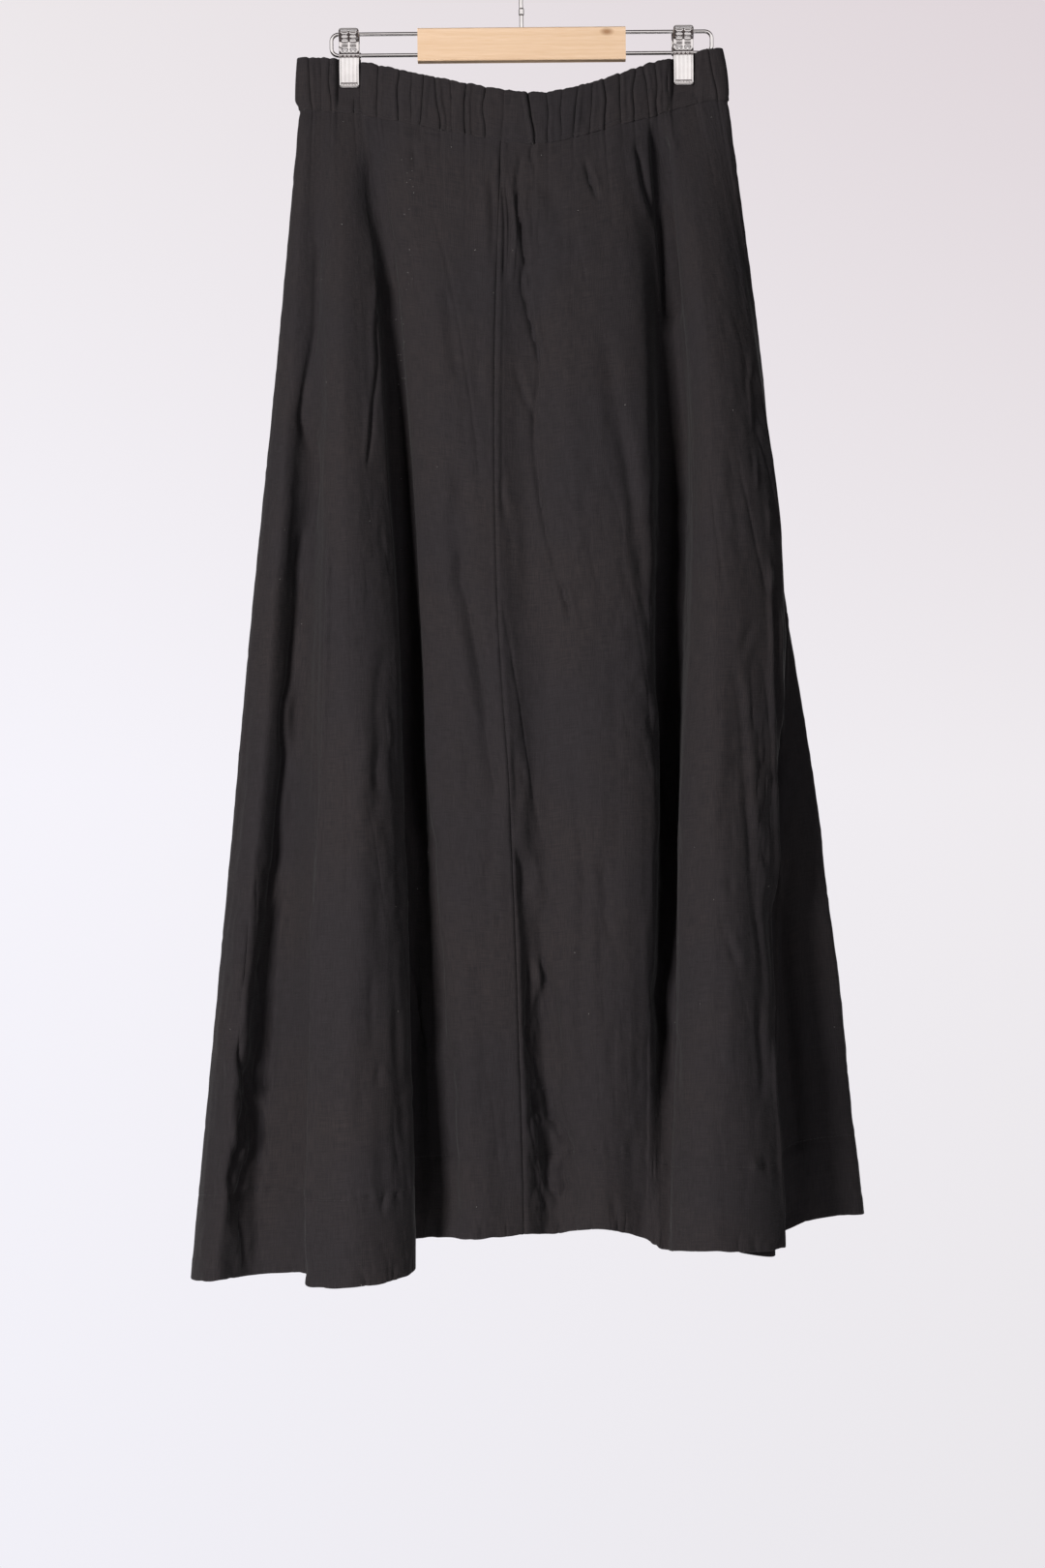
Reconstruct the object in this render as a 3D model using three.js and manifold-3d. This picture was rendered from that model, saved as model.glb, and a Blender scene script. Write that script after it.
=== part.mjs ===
// Maxi skirt of dark linen, hung flat by two clips on a hanger with a wooden bar.
// Millimetres, +Z up. The front faces -Y and +X is the wearer's left, on the right seen from the front.
// The origin is inside the crown of the hook, where the rail carries the hanger.
import * as THREE from "three";
import { mergeVertices } from "three/addons/utils/BufferGeometryUtils.js";
import Module from "manifold-3d";

const wasm = await Module();
wasm.setup();

// Cloth
const GAP = 0.3; // between neighbouring pieces
const PANEL_WALL = 1.6; // linen of the skirt, with its creases
const HEM_WALL = 2.4; // where the hem is turned up
const CASING_WALL = 2.0; // doubled linen round the elastic
const SKIRT_LENGTH = 950; // from the waist seam down to the hem
const HEM_DEPTH = 68; // height of the turned-up hem
const HEM_STEP = 2; // height over which the wall thickens at the top of the hem
const WAIST_LEFT = -190; // left end of the flat waist
const WAIST_RIGHT = 175.5; // right end of the flat waist
const WAIST_ROUND = 5; // how far the round of each end reaches in
const END_REACH = 24; // how far the slant of each end of the casing reaches in
const LEFT_TOP_IN = 1.5;
const LEFT_SEAM_IN = 3;
const RIGHT_TOP_IN = 5;

// Hanger
const BAR_LENGTH = 176;
const BAR_HEIGHT = 28;
const BAR_THICKNESS = 12;
const BAR_EDGE_ROUND = 1.5;
const BAR_CENTRE_Z = -96;
const HANGER_TILT = THREE.MathUtils.degToRad(0.5); // the right end hangs a little higher
const HOOK_WIRE = 3.4; // wire diameter of the hook
const HOOK_INSIDE = 20; // inside radius of the hook's crown
const RAIL_WIRE = 3.2; // wire diameter of the clip rails
const RAIL_SPACING = 18; // between the upper and the lower run of a rail
const RAIL_REACH = 161; // from the middle of the hanger to the round end of a rail
const RAIL_CORNER = 6;
const UPPER_RAIL_Z = -85.7;
const SEAT_DEPTH = 12; // how far each wire goes into the wood
const SHAFT_TOP_Z = -56; // where the hook's straight shaft ends
const HOOK_BEND = { x: 4, z: -45.5 }; // the bend between the shaft and the crown
const HOOK_START = -48; // degrees round the crown, from the right, where the bend joins it
const HOOK_TIP = 202; // and where it ends
const HOOK_ARC_STEP = 25;
const WIRE_SIDES = 8;
const HOOK_STEPS = 52;
const RAIL_STEPS = 60;
const BORE_SIDES = 24;

// Clips
const CLIP_LEFT_X = -146;
const CLIP_RIGHT_X = 136.8;
const CLIP_WIDTH = 17;
const JAW_PLATE = 1; // sheet of the jaws
const RIB_HEIGHT = 0.7;
const RIB_WIDTH = 1.9;
const RIBS = 4;
const SPRING_RADIUS = 3.2;
const SPRING_LENGTH = 13;
const SPRING_RISE = 9; // from the lower rail up to the middle of the spring
const SPRING_SIDES = 16;

// How close the clips press the two layers of the waist, and how soon the layers part beside a clip
const PINCHED_DEPTH = 1.35;
const PINCH_FLAT = 9.3;
const PINCH_END = 13;
const JAW_SWING = 118 * Math.sin(HANGER_TILT); // how far the tilt carries the jaws to the right
const PINCHES = [CLIP_LEFT_X + JAW_SWING, CLIP_RIGHT_X + JAW_SWING];
const PINCH_LOOSENS = 0.62; // share of the casing's height, from its top
const PINCH_AT_SEAM = 0.4;

// The flat waist from its left end to its right: x across, z of the casing's top edge and of its
// seam, and how far the front layer and the back layer stand from the middle plane
const WAIST = [
  { x: -190, edge: -108.2, seam: -150.9, front: 5, back: 5 },
  { x: -169, edge: -108.9, seam: -153.2, front: 5, back: 5 },
  { x: -145, edge: -110.2, seam: -154.0, front: 6.5, back: 6 },
  { x: -113, edge: -117.5, seam: -160.8, front: 9, back: 8 },
  { x: -80, edge: -125.0, seam: -167.4, front: 12, back: 11 },
  { x: -39, edge: -133.8, seam: -175.8, front: 15, back: 13 },
  { x: 8, edge: -140.6, seam: -182.1, front: 16, back: 14 },
  { x: 42, edge: -136.3, seam: -178.2, front: 15, back: 13 },
  { x: 77, edge: -125.8, seam: -167.0, front: 12, back: 11 },
  { x: 108, edge: -114.4, seam: -158.9, front: 8, back: 8 },
  { x: 137.8, edge: -106.9, seam: -148.7, front: 6, back: 6 },
  { x: 155.5, edge: -102.4, seam: -144.6, front: 6, back: 6 },
  { x: 175.5, edge: -100.0, seam: -142.7, front: 5, back: 5 },
];

// The creases between the gathers of the casing: x at its top edge, x at its seam, and depth
const FRONT_GATHERS = [
  { top: -179, foot: -178, depth: 0.8 },
  { top: -162, foot: -161, depth: 0.9 },
  { top: -141, foot: -140, depth: 1.1 },
  { top: -132, foot: -133, depth: 0.9 },
  { top: -121, foot: -120, depth: 0.8 },
  { top: -103, foot: -102, depth: 0.9 },
  { top: -80, foot: -85, depth: 1.1 },
  { top: -72, foot: -68, depth: 1.5 },
  { top: -46, foot: -45, depth: 1.8 },
  { top: -31, foot: -30, depth: 1.0 },
  { top: 7, foot: 11, depth: 1.8 },
  { top: 22, foot: 23, depth: 1.0 },
  { top: 48, foot: 45, depth: 1.5 },
  { top: 71, foot: 71, depth: 1.4 },
  { top: 84, foot: 84, depth: 1.0 },
  { top: 96, foot: 97, depth: 0.9 },
  { top: 105, foot: 108, depth: 1.4 },
  { top: 113, foot: 117, depth: 1.1 },
  { top: 125, foot: 124, depth: 0.9 },
  { top: 149, foot: 150, depth: 0.8 },
  { top: 160, foot: 166, depth: 0.9 },
];

// The gathers of the back aren't seen: they are as many, spread evenly and then pushed about
const BACK_GATHERS = 20;
const BACK_GATHER_DRIFT = 3.2;
const BACK_GATHER_DEPTH = 1.1;
const BACK_GATHER_SWING = 0.4;

// How the cloth stands between two creases of the casing
const CREASE_REACH = 0.3; // share of the way to the next crease over which a crease fades
const PUFF = 0.7; // how far a gather stands out at half height
const EDGE_FULLNESS = 0.55; // share of that at the casing's edge and seam
const EDGE_RUFFLE = 1.1; // how far a gather stands up at the top edge
const CALM_BESIDE_CLIP = 4; // how far past a clip's pinch the gathers stay flatter
const CALM_END = 3; // how far from each round end the casing lies smooth
const FREE_END = 14; // and where its gathers are full

// Levels of the fold table, as shares of the way from the waist seam down to the hem
const LEVELS = [0, 0.22, 0.43, 0.62, 1];

// One fold line of the skirt from the waist to the hem: x at the waist seam, [x, y] at the three
// levels between, and [x, y, z] at the hem
const fold = (name, waist, upper, middle, lower, hem) => ({ name, waist, upper, middle, lower, hem });

const FRONT_FOLDS = [
  fold("left side", -190, [-207, 0], [-228, 0], [-245, 0], [-280.5, 4, -1141]),
  fold("outer ridge", -184, [-197, -20], [-214, -27], [-230, -31], [-263, -36, -1136]),
  fold("outer valley", -172, [-179, -14], [-191, -12], [-207, -9], [-234, -4, -1136]),
  fold("flute foot", -163, [-167, -24], [-172, -31], [-175, -32], [-180, -28, -1131]),
  fold("flute left edge", -157, [-161, -32], [-163, -45], [-166, -52], [-175, -60, -1136]),
  fold("flute crest", -150, [-147, -38], [-143, -56], [-140, -68], [-139, -88, -1133]),
  fold("flute shoulder", -143, [-130, -32], [-119, -46], [-112, -56], [-103.5, -74, -1129]),
  fold("flute right edge", -137, [-115, -20], [-103, -25], [-98, -30], [-88, -46, -1124]),
  fold("flute underside", -133, [-110, -6], [-105, -5], [-104, -5], [-103, -10, -1114]),
  fold("left valley near wall", -129, [-106, 0], [-101, 7], [-99, 12], [-97, 19, -1110]),
  fold("left valley far wall", -125, [-100, 1], [-93, 7], [-90, 12], [-86, 19, -1108]),
  fold("centre left rise", -118, [-95, -8], [-84, -9], [-79, -9], [-67, -4, -1104]),
  fold("centre left crest", -80, [-67, -24], [-56, -29], [-48, -30], [-37, -30, -1102]),
  fold("front seam", -16.5, [-22, -28], [-19, -35], [-8, -35], [3.5, -22, -1099]),
  fold("centre valley", 6, [6, -22], [8, -27], [13, -24], [30, -2, -1101]),
  fold("centre right crest", 40, [42, -32], [54, -38], [62, -37], [68, -26, -1094]),
  fold("centre right fall", 85, [83, -22], [96, -23], [104, -21], [106, -14, -1104]),
  fold("right valley near wall", 110, [120, 2], [126, 6], [127, 9], [133, 12, -1112]),
  fold("right valley far wall", 115, [128, 1], [134, 5], [136, 8], [143, 9, -1113]),
  fold("right flute left edge", 124, [137, -20], [137, -31], [136, -38], [123.5, -42, -1110]),
  fold("right flute crest", 134, [155, -34], [160, -51], [160, -61], [157, -70, -1106]),
  fold("right flute shoulder", 146, [181, -26], [202, -38], [196, -49], [198, -60, -1108]),
  fold("right flute edge", 155, [198, -9], [222, -14], [215, -24], [221, -34, -1108]),
  fold("tuck behind the flute", 159, [200, -4], [217, -2], [205, -6], [186, -8, -1116]),
  fold("tuck edge", 162, [201, 0], [218, 4], [214, 5], [216, 12, -1122]),
  fold("outer right valley", 165, [202, 4], [217, 10], [216, 18], [208, 34, -1116]),
  fold("outer right ridge", 170, [203, 8], [220, 16], [236, 24], [253.5, 44, -1096]),
  fold("right side", 175.5, [203, 13], [224, 22], [253, 33], [297, 56, -1093]),
];

const BACK_FOLDS = [
  fold("back right edge", 172, [199, 22], [221, 35], [243, 50], [281, 86, -1094]),
  fold("back right crest", 150, [172, 30], [187, 48], [201, 65], [232, 104, -1097]),
  fold("back right valley", 120, [136, 20], [147, 30], [158, 40], [182, 66, -1102]),
  fold("back second crest", 92, [104, 30], [112, 46], [119, 62], [136, 98, -1104]),
  fold("back second valley", 62, [70, 22], [74, 30], [78, 37], [90, 58, -1106]),
  fold("back third crest", 28, [32, 30], [34, 44], [37, 57], [44, 88, -1107]),
  fold("back seam", -8, [-9, 26], [-9, 36], [-8, 46], [-4, 70, -1106]),
  fold("back fourth crest", -42, [-46, 30], [-49, 45], [-51, 59], [-54, 90, -1108]),
  fold("back fourth valley", -74, [-82, 20], [-86, 29], [-89, 37], [-98, 54, -1111]),
  fold("back fifth crest", -108, [-122, 28], [-129, 43], [-134, 57], [-146, 86, -1116]),
  fold("back fifth valley", -136, [-152, 16], [-162, 24], [-171, 31], [-190, 46, -1122]),
  fold("back left crest", -164, [-182, 22], [-198, 34], [-211, 44], [-236, 66, -1130]),
  fold("back left edge", -184, [-202, 14], [-221, 20], [-237, 26], [-268, 38, -1137]),
];

const CORNER_LIMIT = 1.5; // how much longer a wall's offset may be at a sharp corner

// Fineness of the cloth: columns between two fold lines, and rows above and in the hem
const FRONT_STEPS = 2;
const BACK_STEPS = 3;
const ROWS_ABOVE_HEM = 14;
const ROWS_IN_HEM = 2;
const CASING_ROWS = 4;
const GATHER_SHAPE = [0, 0.14, 0.36, 0.64, 0.86]; // columns from one crease to the next
const PINCH_MIDDLE = (PINCH_FLAT + PINCH_END) / 2;
const PINCH_STATIONS = [-PINCH_END, -PINCH_MIDDLE, -PINCH_FLAT, 0, PINCH_FLAT, PINCH_MIDDLE, PINCH_END];
const PINCH_CREASE = 0.6; // depth of the crease that runs down from under a clip

// Materials
const linen = () => new THREE.MeshStandardMaterial({ color: 0x322e2e, roughness: 0.95, metalness: 0 });
const wood = () => new THREE.MeshStandardMaterial({ color: 0xeccba8, roughness: 0.6, metalness: 0 });
const chrome = () => new THREE.MeshStandardMaterial({ color: 0xd8dadd, roughness: 0.15, metalness: 1 });
const steel = () => new THREE.MeshStandardMaterial({ color: 0xb9bcc0, roughness: 0.3, metalness: 1 });

const mix = THREE.MathUtils.lerp;
const smooth = THREE.MathUtils.smoothstep;
const fromClip = (x) => Math.min(...PINCHES.map((pinch) => Math.abs(x - pinch)));

// A smooth line through values at given stations, such as a fold's x at its four levels
function through(stations, values, at) {
  const last = stations.length - 1;
  const slope = (i) => {
    const low = Math.max(i - 1, 0);
    const high = Math.min(i + 1, last);
    return (values[high] - values[low]) / (stations[high] - stations[low]);
  };
  let i = 0;
  while (i < last - 1 && at > stations[i + 1]) i += 1;
  const span = stations[i + 1] - stations[i];
  const s = THREE.MathUtils.clamp((at - stations[i]) / span, 0, 1);
  const start = values[i];
  const end = values[i + 1];
  const rise = end - start;
  const startBend = slope(i) * span - rise;
  const endBend = rise - slope(i + 1) * span;
  return mix(start, end, s) + s * (1 - s) * (mix(startBend, endBend, s));
}

const waistStations = WAIST.map((row) => row.x);
const waistColumn = (column, x) =>
  through(
    waistStations,
    WAIST.map((row) => row[column]),
    x,
  );

// How far a layer of the waist stands from the middle plane at x, down a share of the casing
function waistDepth(side, x, down) {
  const hold = mix(1, PINCH_AT_SEAM, smooth(down, PINCH_LOOSENS, 1));
  const free = smooth(fromClip(x), PINCH_FLAT, PINCH_END);
  const loose = waistColumn(side, x);
  const pinched = mix(loose, PINCHED_DEPTH, hold * (1 - free));
  const toEnd = Math.min(x - WAIST_LEFT, WAIST_RIGHT - x);
  const inward = THREE.MathUtils.clamp(1 - toEnd / WAIST_ROUND, 0, 1);
  return pinched * Math.sqrt(1 - inward * inward);
}

// The casing's ends slant in towards its top on the right and draw in at the seam on the left
function endShift(x, down) {
  const right = smooth(x, WAIST_RIGHT - END_REACH, WAIST_RIGHT);
  const left = 1 - smooth(x, WAIST_LEFT, WAIST_LEFT + END_REACH);
  const upward = (1 - down) * (1 - down);
  return left * (LEFT_TOP_IN * upward + LEFT_SEAM_IN * smooth(down, 0.8, 1)) - right * RIGHT_TOP_IN * upward;
}

// The skirt's rings, front from left to right and then the back from right to left
const folds = [...FRONT_FOLDS, ...BACK_FOLDS];

function foldPoint(row, index, down) {
  const front = index < FRONT_FOLDS.length;
  const side = front ? "front" : "back";
  const waistY = waistDepth(side, row.waist, 1) * (front ? -1 : 1);
  const waistX = row.waist + endShift(row.waist, 1);
  const between = [row.upper, row.middle, row.lower, row.hem];
  const x = through(LEVELS, [waistX, ...between.map((level) => level[0])], down);
  const y = through(LEVELS, [waistY, ...between.map((level) => level[1])], down);
  const z = mix(waistColumn("seam", row.waist) - GAP, row.hem[2], down);
  return new THREE.Vector3(x, y, z);
}

// Column positions along a ring, counted in folds, and the columns where panels meet
const columns = [];
const seamColumns = {};
folds.forEach((row, index) => {
  const steps = index < FRONT_FOLDS.length - 1 ? FRONT_STEPS : BACK_STEPS;
  seamColumns[row.name] = columns.length;
  for (let step = 0; step < steps; step += 1) columns.push(index + step / steps);
});

function skirtRing(down) {
  const points = folds.map((row, index) => foldPoint(row, index, down));
  const ring = new THREE.CatmullRomCurve3(points, true, "centripetal");
  return columns.map((place) => ring.getPoint(place / folds.length));
}

// The outward direction in plan at a point of a ring that runs anticlockwise seen from above, made
// longer at a corner so that the wall keeps its thickness
function outward(before, point, after) {
  const square = (from, to) => new THREE.Vector3(to.y - from.y, from.x - to.x, 0).normalize();
  const arriving = square(before, point);
  const middle = arriving.clone().add(square(point, after)).normalize();
  return middle.multiplyScalar(Math.min(1 / middle.dot(arriving), CORNER_LIMIT));
}

// A wall round a ring: its outer and its inner points
function wallRing(ring, wall) {
  const count = ring.length;
  const side = (distance) =>
    ring.map((point, i) => {
      const normal = outward(ring[(i + count - 1) % count], point, ring[(i + 1) % count]);
      return point.clone().addScaledVector(normal, distance);
    });
  return { outer: side(wall / 2), inner: side(-wall / 2) };
}

// The part of a wall ring from one column to another, its ends drawn in by half the seam gap
function stretch(ring, from, to) {
  const count = ring.outer.length;
  const take = (points) => {
    const taken = [];
    for (let i = from; i <= to; i += 1) taken.push(points[i % count].clone());
    const drawIn = (end, next) => {
      const inwards = next.clone().sub(end).setZ(0).normalize();
      end.addScaledVector(inwards, GAP / 2);
    };
    drawIn(taken[0], taken[1]);
    drawIn(taken[taken.length - 1], taken[taken.length - 2]);
    return taken;
  };
  return { outer: take(ring.outer), inner: take(ring.inner) };
}

// A closed mesh from rows of wall points: outer face, inner face, top and foot, and its two ends
// unless it runs all round
function wallMesh(name, rows, allRound) {
  const width = rows[0].outer.length;
  const positions = [];
  rows.forEach((row) => {
    [...row.outer, ...row.inner].forEach((point) => positions.push(point.x, point.y, point.z));
  });
  const outer = (row, column) => row * 2 * width + (column % width);
  const inner = (row, column) => outer(row, column) + width;
  const index = [];
  const quad = (a, b, c, d) => index.push(a, b, c, a, c, d);
  const foot = rows.length - 1;
  const steps = allRound ? width : width - 1;
  for (let column = 0; column < steps; column += 1) {
    for (let row = 0; row < foot; row += 1) {
      quad(outer(row, column), outer(row + 1, column), outer(row + 1, column + 1), outer(row, column + 1));
      quad(inner(row, column), inner(row, column + 1), inner(row + 1, column + 1), inner(row + 1, column));
    }
    quad(outer(0, column), outer(0, column + 1), inner(0, column + 1), inner(0, column));
    quad(outer(foot, column), inner(foot, column), inner(foot, column + 1), outer(foot, column + 1));
  }
  if (!allRound) {
    const end = width - 1;
    for (let row = 0; row < foot; row += 1) {
      quad(outer(row, 0), inner(row, 0), inner(row + 1, 0), outer(row + 1, 0));
      quad(outer(row, end), outer(row + 1, end), inner(row + 1, end), inner(row, end));
    }
  }
  const geometry = new THREE.BufferGeometry();
  geometry.setAttribute("position", new THREE.Float32BufferAttribute(positions, 3));
  geometry.setIndex(index);
  return piece(name, geometry, linen());
}

function piece(name, geometry, material) {
  const mesh = new THREE.Mesh(geometry, material);
  mesh.name = name;
  return mesh;
}

// Skirt panels
const hemShare = HEM_DEPTH / SKIRT_LENGTH;
const hemTop = 1 - hemShare;
const levelsDown = [];
for (let row = 0; row <= ROWS_ABOVE_HEM; row += 1) {
  levelsDown.push({ down: (row / ROWS_ABOVE_HEM) * hemTop, wall: PANEL_WALL });
}
for (let row = 0; row <= ROWS_IN_HEM; row += 1) {
  const down = mix(hemTop + HEM_STEP / SKIRT_LENGTH, 1, row / ROWS_IN_HEM);
  levelsDown.push({ down, wall: HEM_WALL });
}
const skirtRows = levelsDown.map(({ down, wall }) => wallRing(skirtRing(down), wall));

function panel(name, fromFold, toFold) {
  const from = seamColumns[fromFold];
  const to = seamColumns[toFold] || columns.length;
  const rows = skirtRows.map((row) => stretch(row, from, to));
  return wallMesh(name, rows, false);
}

// Height of the seam under the casing, along the tops of the panels, so the two edges run parallel
const skirtTop = skirtRing(0);
const frontEnd = seamColumns["right side"];
const topOfFront = skirtTop.slice(0, frontEnd + 1);
const topOfBack = [...skirtTop.slice(frontEnd), skirtTop[0]].reverse();

function seamHeight(side, x) {
  const line = side === "front" ? topOfFront : topOfBack;
  let i = 0;
  while (i < line.length - 2 && x > line[i + 1].x) i += 1;
  const share = THREE.MathUtils.clamp((x - line[i].x) / (line[i + 1].x - line[i].x), 0, 1);
  return mix(line[i].z, line[i + 1].z, share) + GAP;
}

// Gathered casing
const backGathers = Array.from({ length: BACK_GATHERS }, (_, i) => {
  const even = mix(WAIST_LEFT, WAIST_RIGHT, (i + 0.5) / BACK_GATHERS);
  const drift = BACK_GATHER_DRIFT * Math.sin(i * 2.3);
  const depth = BACK_GATHER_DEPTH + BACK_GATHER_SWING * Math.cos(i * 1.7);
  return { top: even + drift, foot: even + drift * 0.4, depth };
});

const creaseAt = (share) => smooth(CREASE_REACH - share, 0, CREASE_REACH);

// The gathers of one layer as stations: columns from crease to crease, with the share of the way
// between two creases, and the finer columns of the round ends
function casingStations(gathers) {
  const creases = [
    { top: WAIST_LEFT, foot: WAIST_LEFT, depth: 0 },
    ...gathers,
    { top: WAIST_RIGHT, foot: WAIST_RIGHT, depth: 0 },
  ];
  const stations = [];
  for (let i = 0; i < creases.length - 1; i += 1) {
    const here = creases[i];
    const next = creases[i + 1];
    GATHER_SHAPE.forEach((share) => {
      stations.push({
        top: mix(here.top, next.top, share),
        foot: mix(here.foot, next.foot, share),
        crease: here.depth * creaseAt(share) + next.depth * creaseAt(1 - share),
        puff: Math.sin(Math.PI * share),
      });
    });
  }
  const held = (x) => fromClip(x) < PINCH_END + 1;
  const free = stations.filter((station) => !held(station.top) && !held(station.foot));
  PINCHES.forEach((pinch) => {
    PINCH_STATIONS.forEach((offset) => {
      const x = pinch + offset;
      free.push({ top: x, foot: x, crease: offset === 0 ? PINCH_CREASE : 0, puff: 0 });
    });
  });
  return free.sort((a, b) => a.top - b.top);
}

function casingPoint(side, station, down) {
  const outwards = side === "front" ? -1 : 1;
  const x = mix(station.top, station.foot, down);
  const nearEnd = Math.min(x - WAIST_LEFT, WAIST_RIGHT - x);
  const inland = smooth(nearEnd, CALM_END, FREE_END);
  const loose = smooth(fromClip(x), PINCH_FLAT, PINCH_END + CALM_BESIDE_CLIP) * inland;
  const free = Math.max(loose, smooth(down, PINCH_LOOSENS, 1) * inland);
  const fullness = mix(EDGE_FULLNESS, 1, Math.sin(Math.PI * down));
  const relief = (station.puff * PUFF - station.crease) * free * fullness;
  const y = outwards * (waistDepth(side, x, down) + relief);
  const edge = waistColumn("edge", x) + EDGE_RUFFLE * (station.puff - 0.5) * loose;
  const shifted = x + endShift(x, down);
  return new THREE.Vector3(shifted, y, mix(edge, seamHeight(side, shifted), down));
}

function casing() {
  const front = casingStations(FRONT_GATHERS);
  const back = casingStations(backGathers);
  const rightEnd = { top: WAIST_RIGHT, foot: WAIST_RIGHT, crease: 0, puff: 0 };
  const rows = [];
  for (let row = 0; row <= CASING_ROWS; row += 1) {
    const down = row / CASING_ROWS;
    const ring = [
      ...front.map((station) => casingPoint("front", station, down)),
      casingPoint("back", rightEnd, down),
      ...back.slice(1).reverse().map((station) => casingPoint("back", station, down)),
    ];
    rows.push(wallRing(ring, CASING_WALL));
  }
  return wallMesh("waistband", rows, true);
}

// Solids that are joined or cut
function solid(geometry) {
  const bare = new THREE.BufferGeometry();
  bare.setAttribute("position", geometry.getAttribute("position"));
  bare.setIndex(geometry.index);
  const merged = mergeVertices(bare, 1e-4);
  const mesh = new wasm.Mesh({
    numProp: 3,
    vertProperties: merged.attributes.position.array,
    triVerts: new Uint32Array(merged.index.array),
  });
  return new wasm.Manifold(mesh);
}

function geometryOf(body) {
  const mesh = body.getMesh();
  const geometry = new THREE.BufferGeometry();
  geometry.setAttribute("position", new THREE.Float32BufferAttribute(mesh.vertProperties, 3));
  geometry.setIndex(Array.from(mesh.triVerts));
  return geometry;
}

// A round wire along a curve
function wire(curve, diameter, steps) {
  const section = new THREE.Shape();
  for (let i = 0; i < WIRE_SIDES; i += 1) {
    const angle = (i / WIRE_SIDES) * 2 * Math.PI;
    const x = (Math.cos(angle) * diameter) / 2;
    const y = (Math.sin(angle) * diameter) / 2;
    if (i === 0) section.moveTo(x, y);
    else section.lineTo(x, y);
  }
  section.closePath();
  return new THREE.ExtrudeGeometry(section, { extrudePath: curve, steps, bevelEnabled: false });
}

// A round bore, made a little wider than the wire that sits in it
function bore(wireDiameter, depth) {
  const radius = wireDiameter / 2 + GAP;
  return new THREE.CylinderGeometry(radius, radius, depth, BORE_SIDES);
}

function hangerBar() {
  const half = BAR_THICKNESS / 2;
  const tall = BAR_HEIGHT / 2;
  const round = BAR_EDGE_ROUND;
  const section = new THREE.Shape();
  section.moveTo(-half + round, -tall);
  section.lineTo(half - round, -tall);
  section.absarc(half - round, -tall + round, round, -Math.PI / 2, 0);
  section.absarc(half - round, tall - round, round, 0, Math.PI / 2);
  section.absarc(-half + round, tall - round, round, Math.PI / 2, Math.PI);
  section.absarc(-half + round, -tall + round, round, Math.PI, 1.5 * Math.PI);
  const shape = { depth: BAR_LENGTH, bevelEnabled: false, curveSegments: 4 };
  const block = new THREE.ExtrudeGeometry(section, shape);
  block.rotateX(Math.PI / 2).rotateZ(Math.PI / 2);
  block.translate(-BAR_LENGTH / 2, 0, BAR_CENTRE_Z);
  let bar = solid(block);
  const hookSeat = bore(HOOK_WIRE, 2 * (SEAT_DEPTH + GAP));
  hookSeat.rotateX(Math.PI / 2).translate(0, 0, BAR_CENTRE_Z + BAR_HEIGHT / 2);
  bar = bar.subtract(solid(hookSeat));
  [-1, 1].forEach((end) => {
    [UPPER_RAIL_Z, UPPER_RAIL_Z - RAIL_SPACING].forEach((z) => {
      const seat = bore(RAIL_WIRE, 2 * (SEAT_DEPTH + GAP));
      seat.rotateZ(Math.PI / 2).translate((end * BAR_LENGTH) / 2, 0, z);
      bar = bar.subtract(solid(seat));
    });
  });
  return piece("hanger_bar", geometryOf(bar), wood());
}

// The hook: a straight shaft out of the bar, a bend to the right and the crown, open on the left
function hangerHook() {
  const radius = HOOK_INSIDE + HOOK_WIRE / 2;
  const shaftFoot = BAR_CENTRE_Z + BAR_HEIGHT / 2 - SEAT_DEPTH;
  const at = (degrees) => {
    const angle = THREE.MathUtils.degToRad(degrees);
    return new THREE.Vector3(radius * Math.cos(angle), 0, radius * Math.sin(angle) - HOOK_INSIDE);
  };
  const points = [
    new THREE.Vector3(0, 0, shaftFoot),
    new THREE.Vector3(0, 0, mix(shaftFoot, SHAFT_TOP_Z, 0.6)),
    new THREE.Vector3(0, 0, SHAFT_TOP_Z),
    new THREE.Vector3(HOOK_BEND.x, 0, HOOK_BEND.z),
  ];
  for (let degrees = HOOK_START; degrees <= HOOK_TIP; degrees += HOOK_ARC_STEP) points.push(at(degrees));
  const curve = new THREE.CatmullRomCurve3(points, false, "centripetal");
  return piece("hanger_hook", wire(curve, HOOK_WIRE, HOOK_STEPS), chrome());
}

// A clip rail: out of the bar, round the end and back into the bar
function clipRail(name, end) {
  const inside = end * (BAR_LENGTH / 2 - SEAT_DEPTH);
  const reach = end * RAIL_REACH;
  const corner = end * RAIL_CORNER;
  const lower = UPPER_RAIL_Z - RAIL_SPACING;
  const at = (x, z) => new THREE.Vector3(x, 0, z);
  const path = new THREE.CurvePath();
  const bend = (from, middle, to) => path.add(new THREE.QuadraticBezierCurve3(from, middle, to));
  path.add(new THREE.LineCurve3(at(inside, UPPER_RAIL_Z), at(reach - corner, UPPER_RAIL_Z)));
  bend(at(reach - corner, UPPER_RAIL_Z), at(reach, UPPER_RAIL_Z), at(reach, UPPER_RAIL_Z - RAIL_CORNER));
  path.add(new THREE.LineCurve3(at(reach, UPPER_RAIL_Z - RAIL_CORNER), at(reach, lower + RAIL_CORNER)));
  bend(at(reach, lower + RAIL_CORNER), at(reach, lower), at(reach - corner, lower));
  path.add(new THREE.LineCurve3(at(reach - corner, lower), at(inside, lower)));
  return piece(name, wire(path, RAIL_WIRE, RAIL_STEPS), chrome());
}

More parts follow.
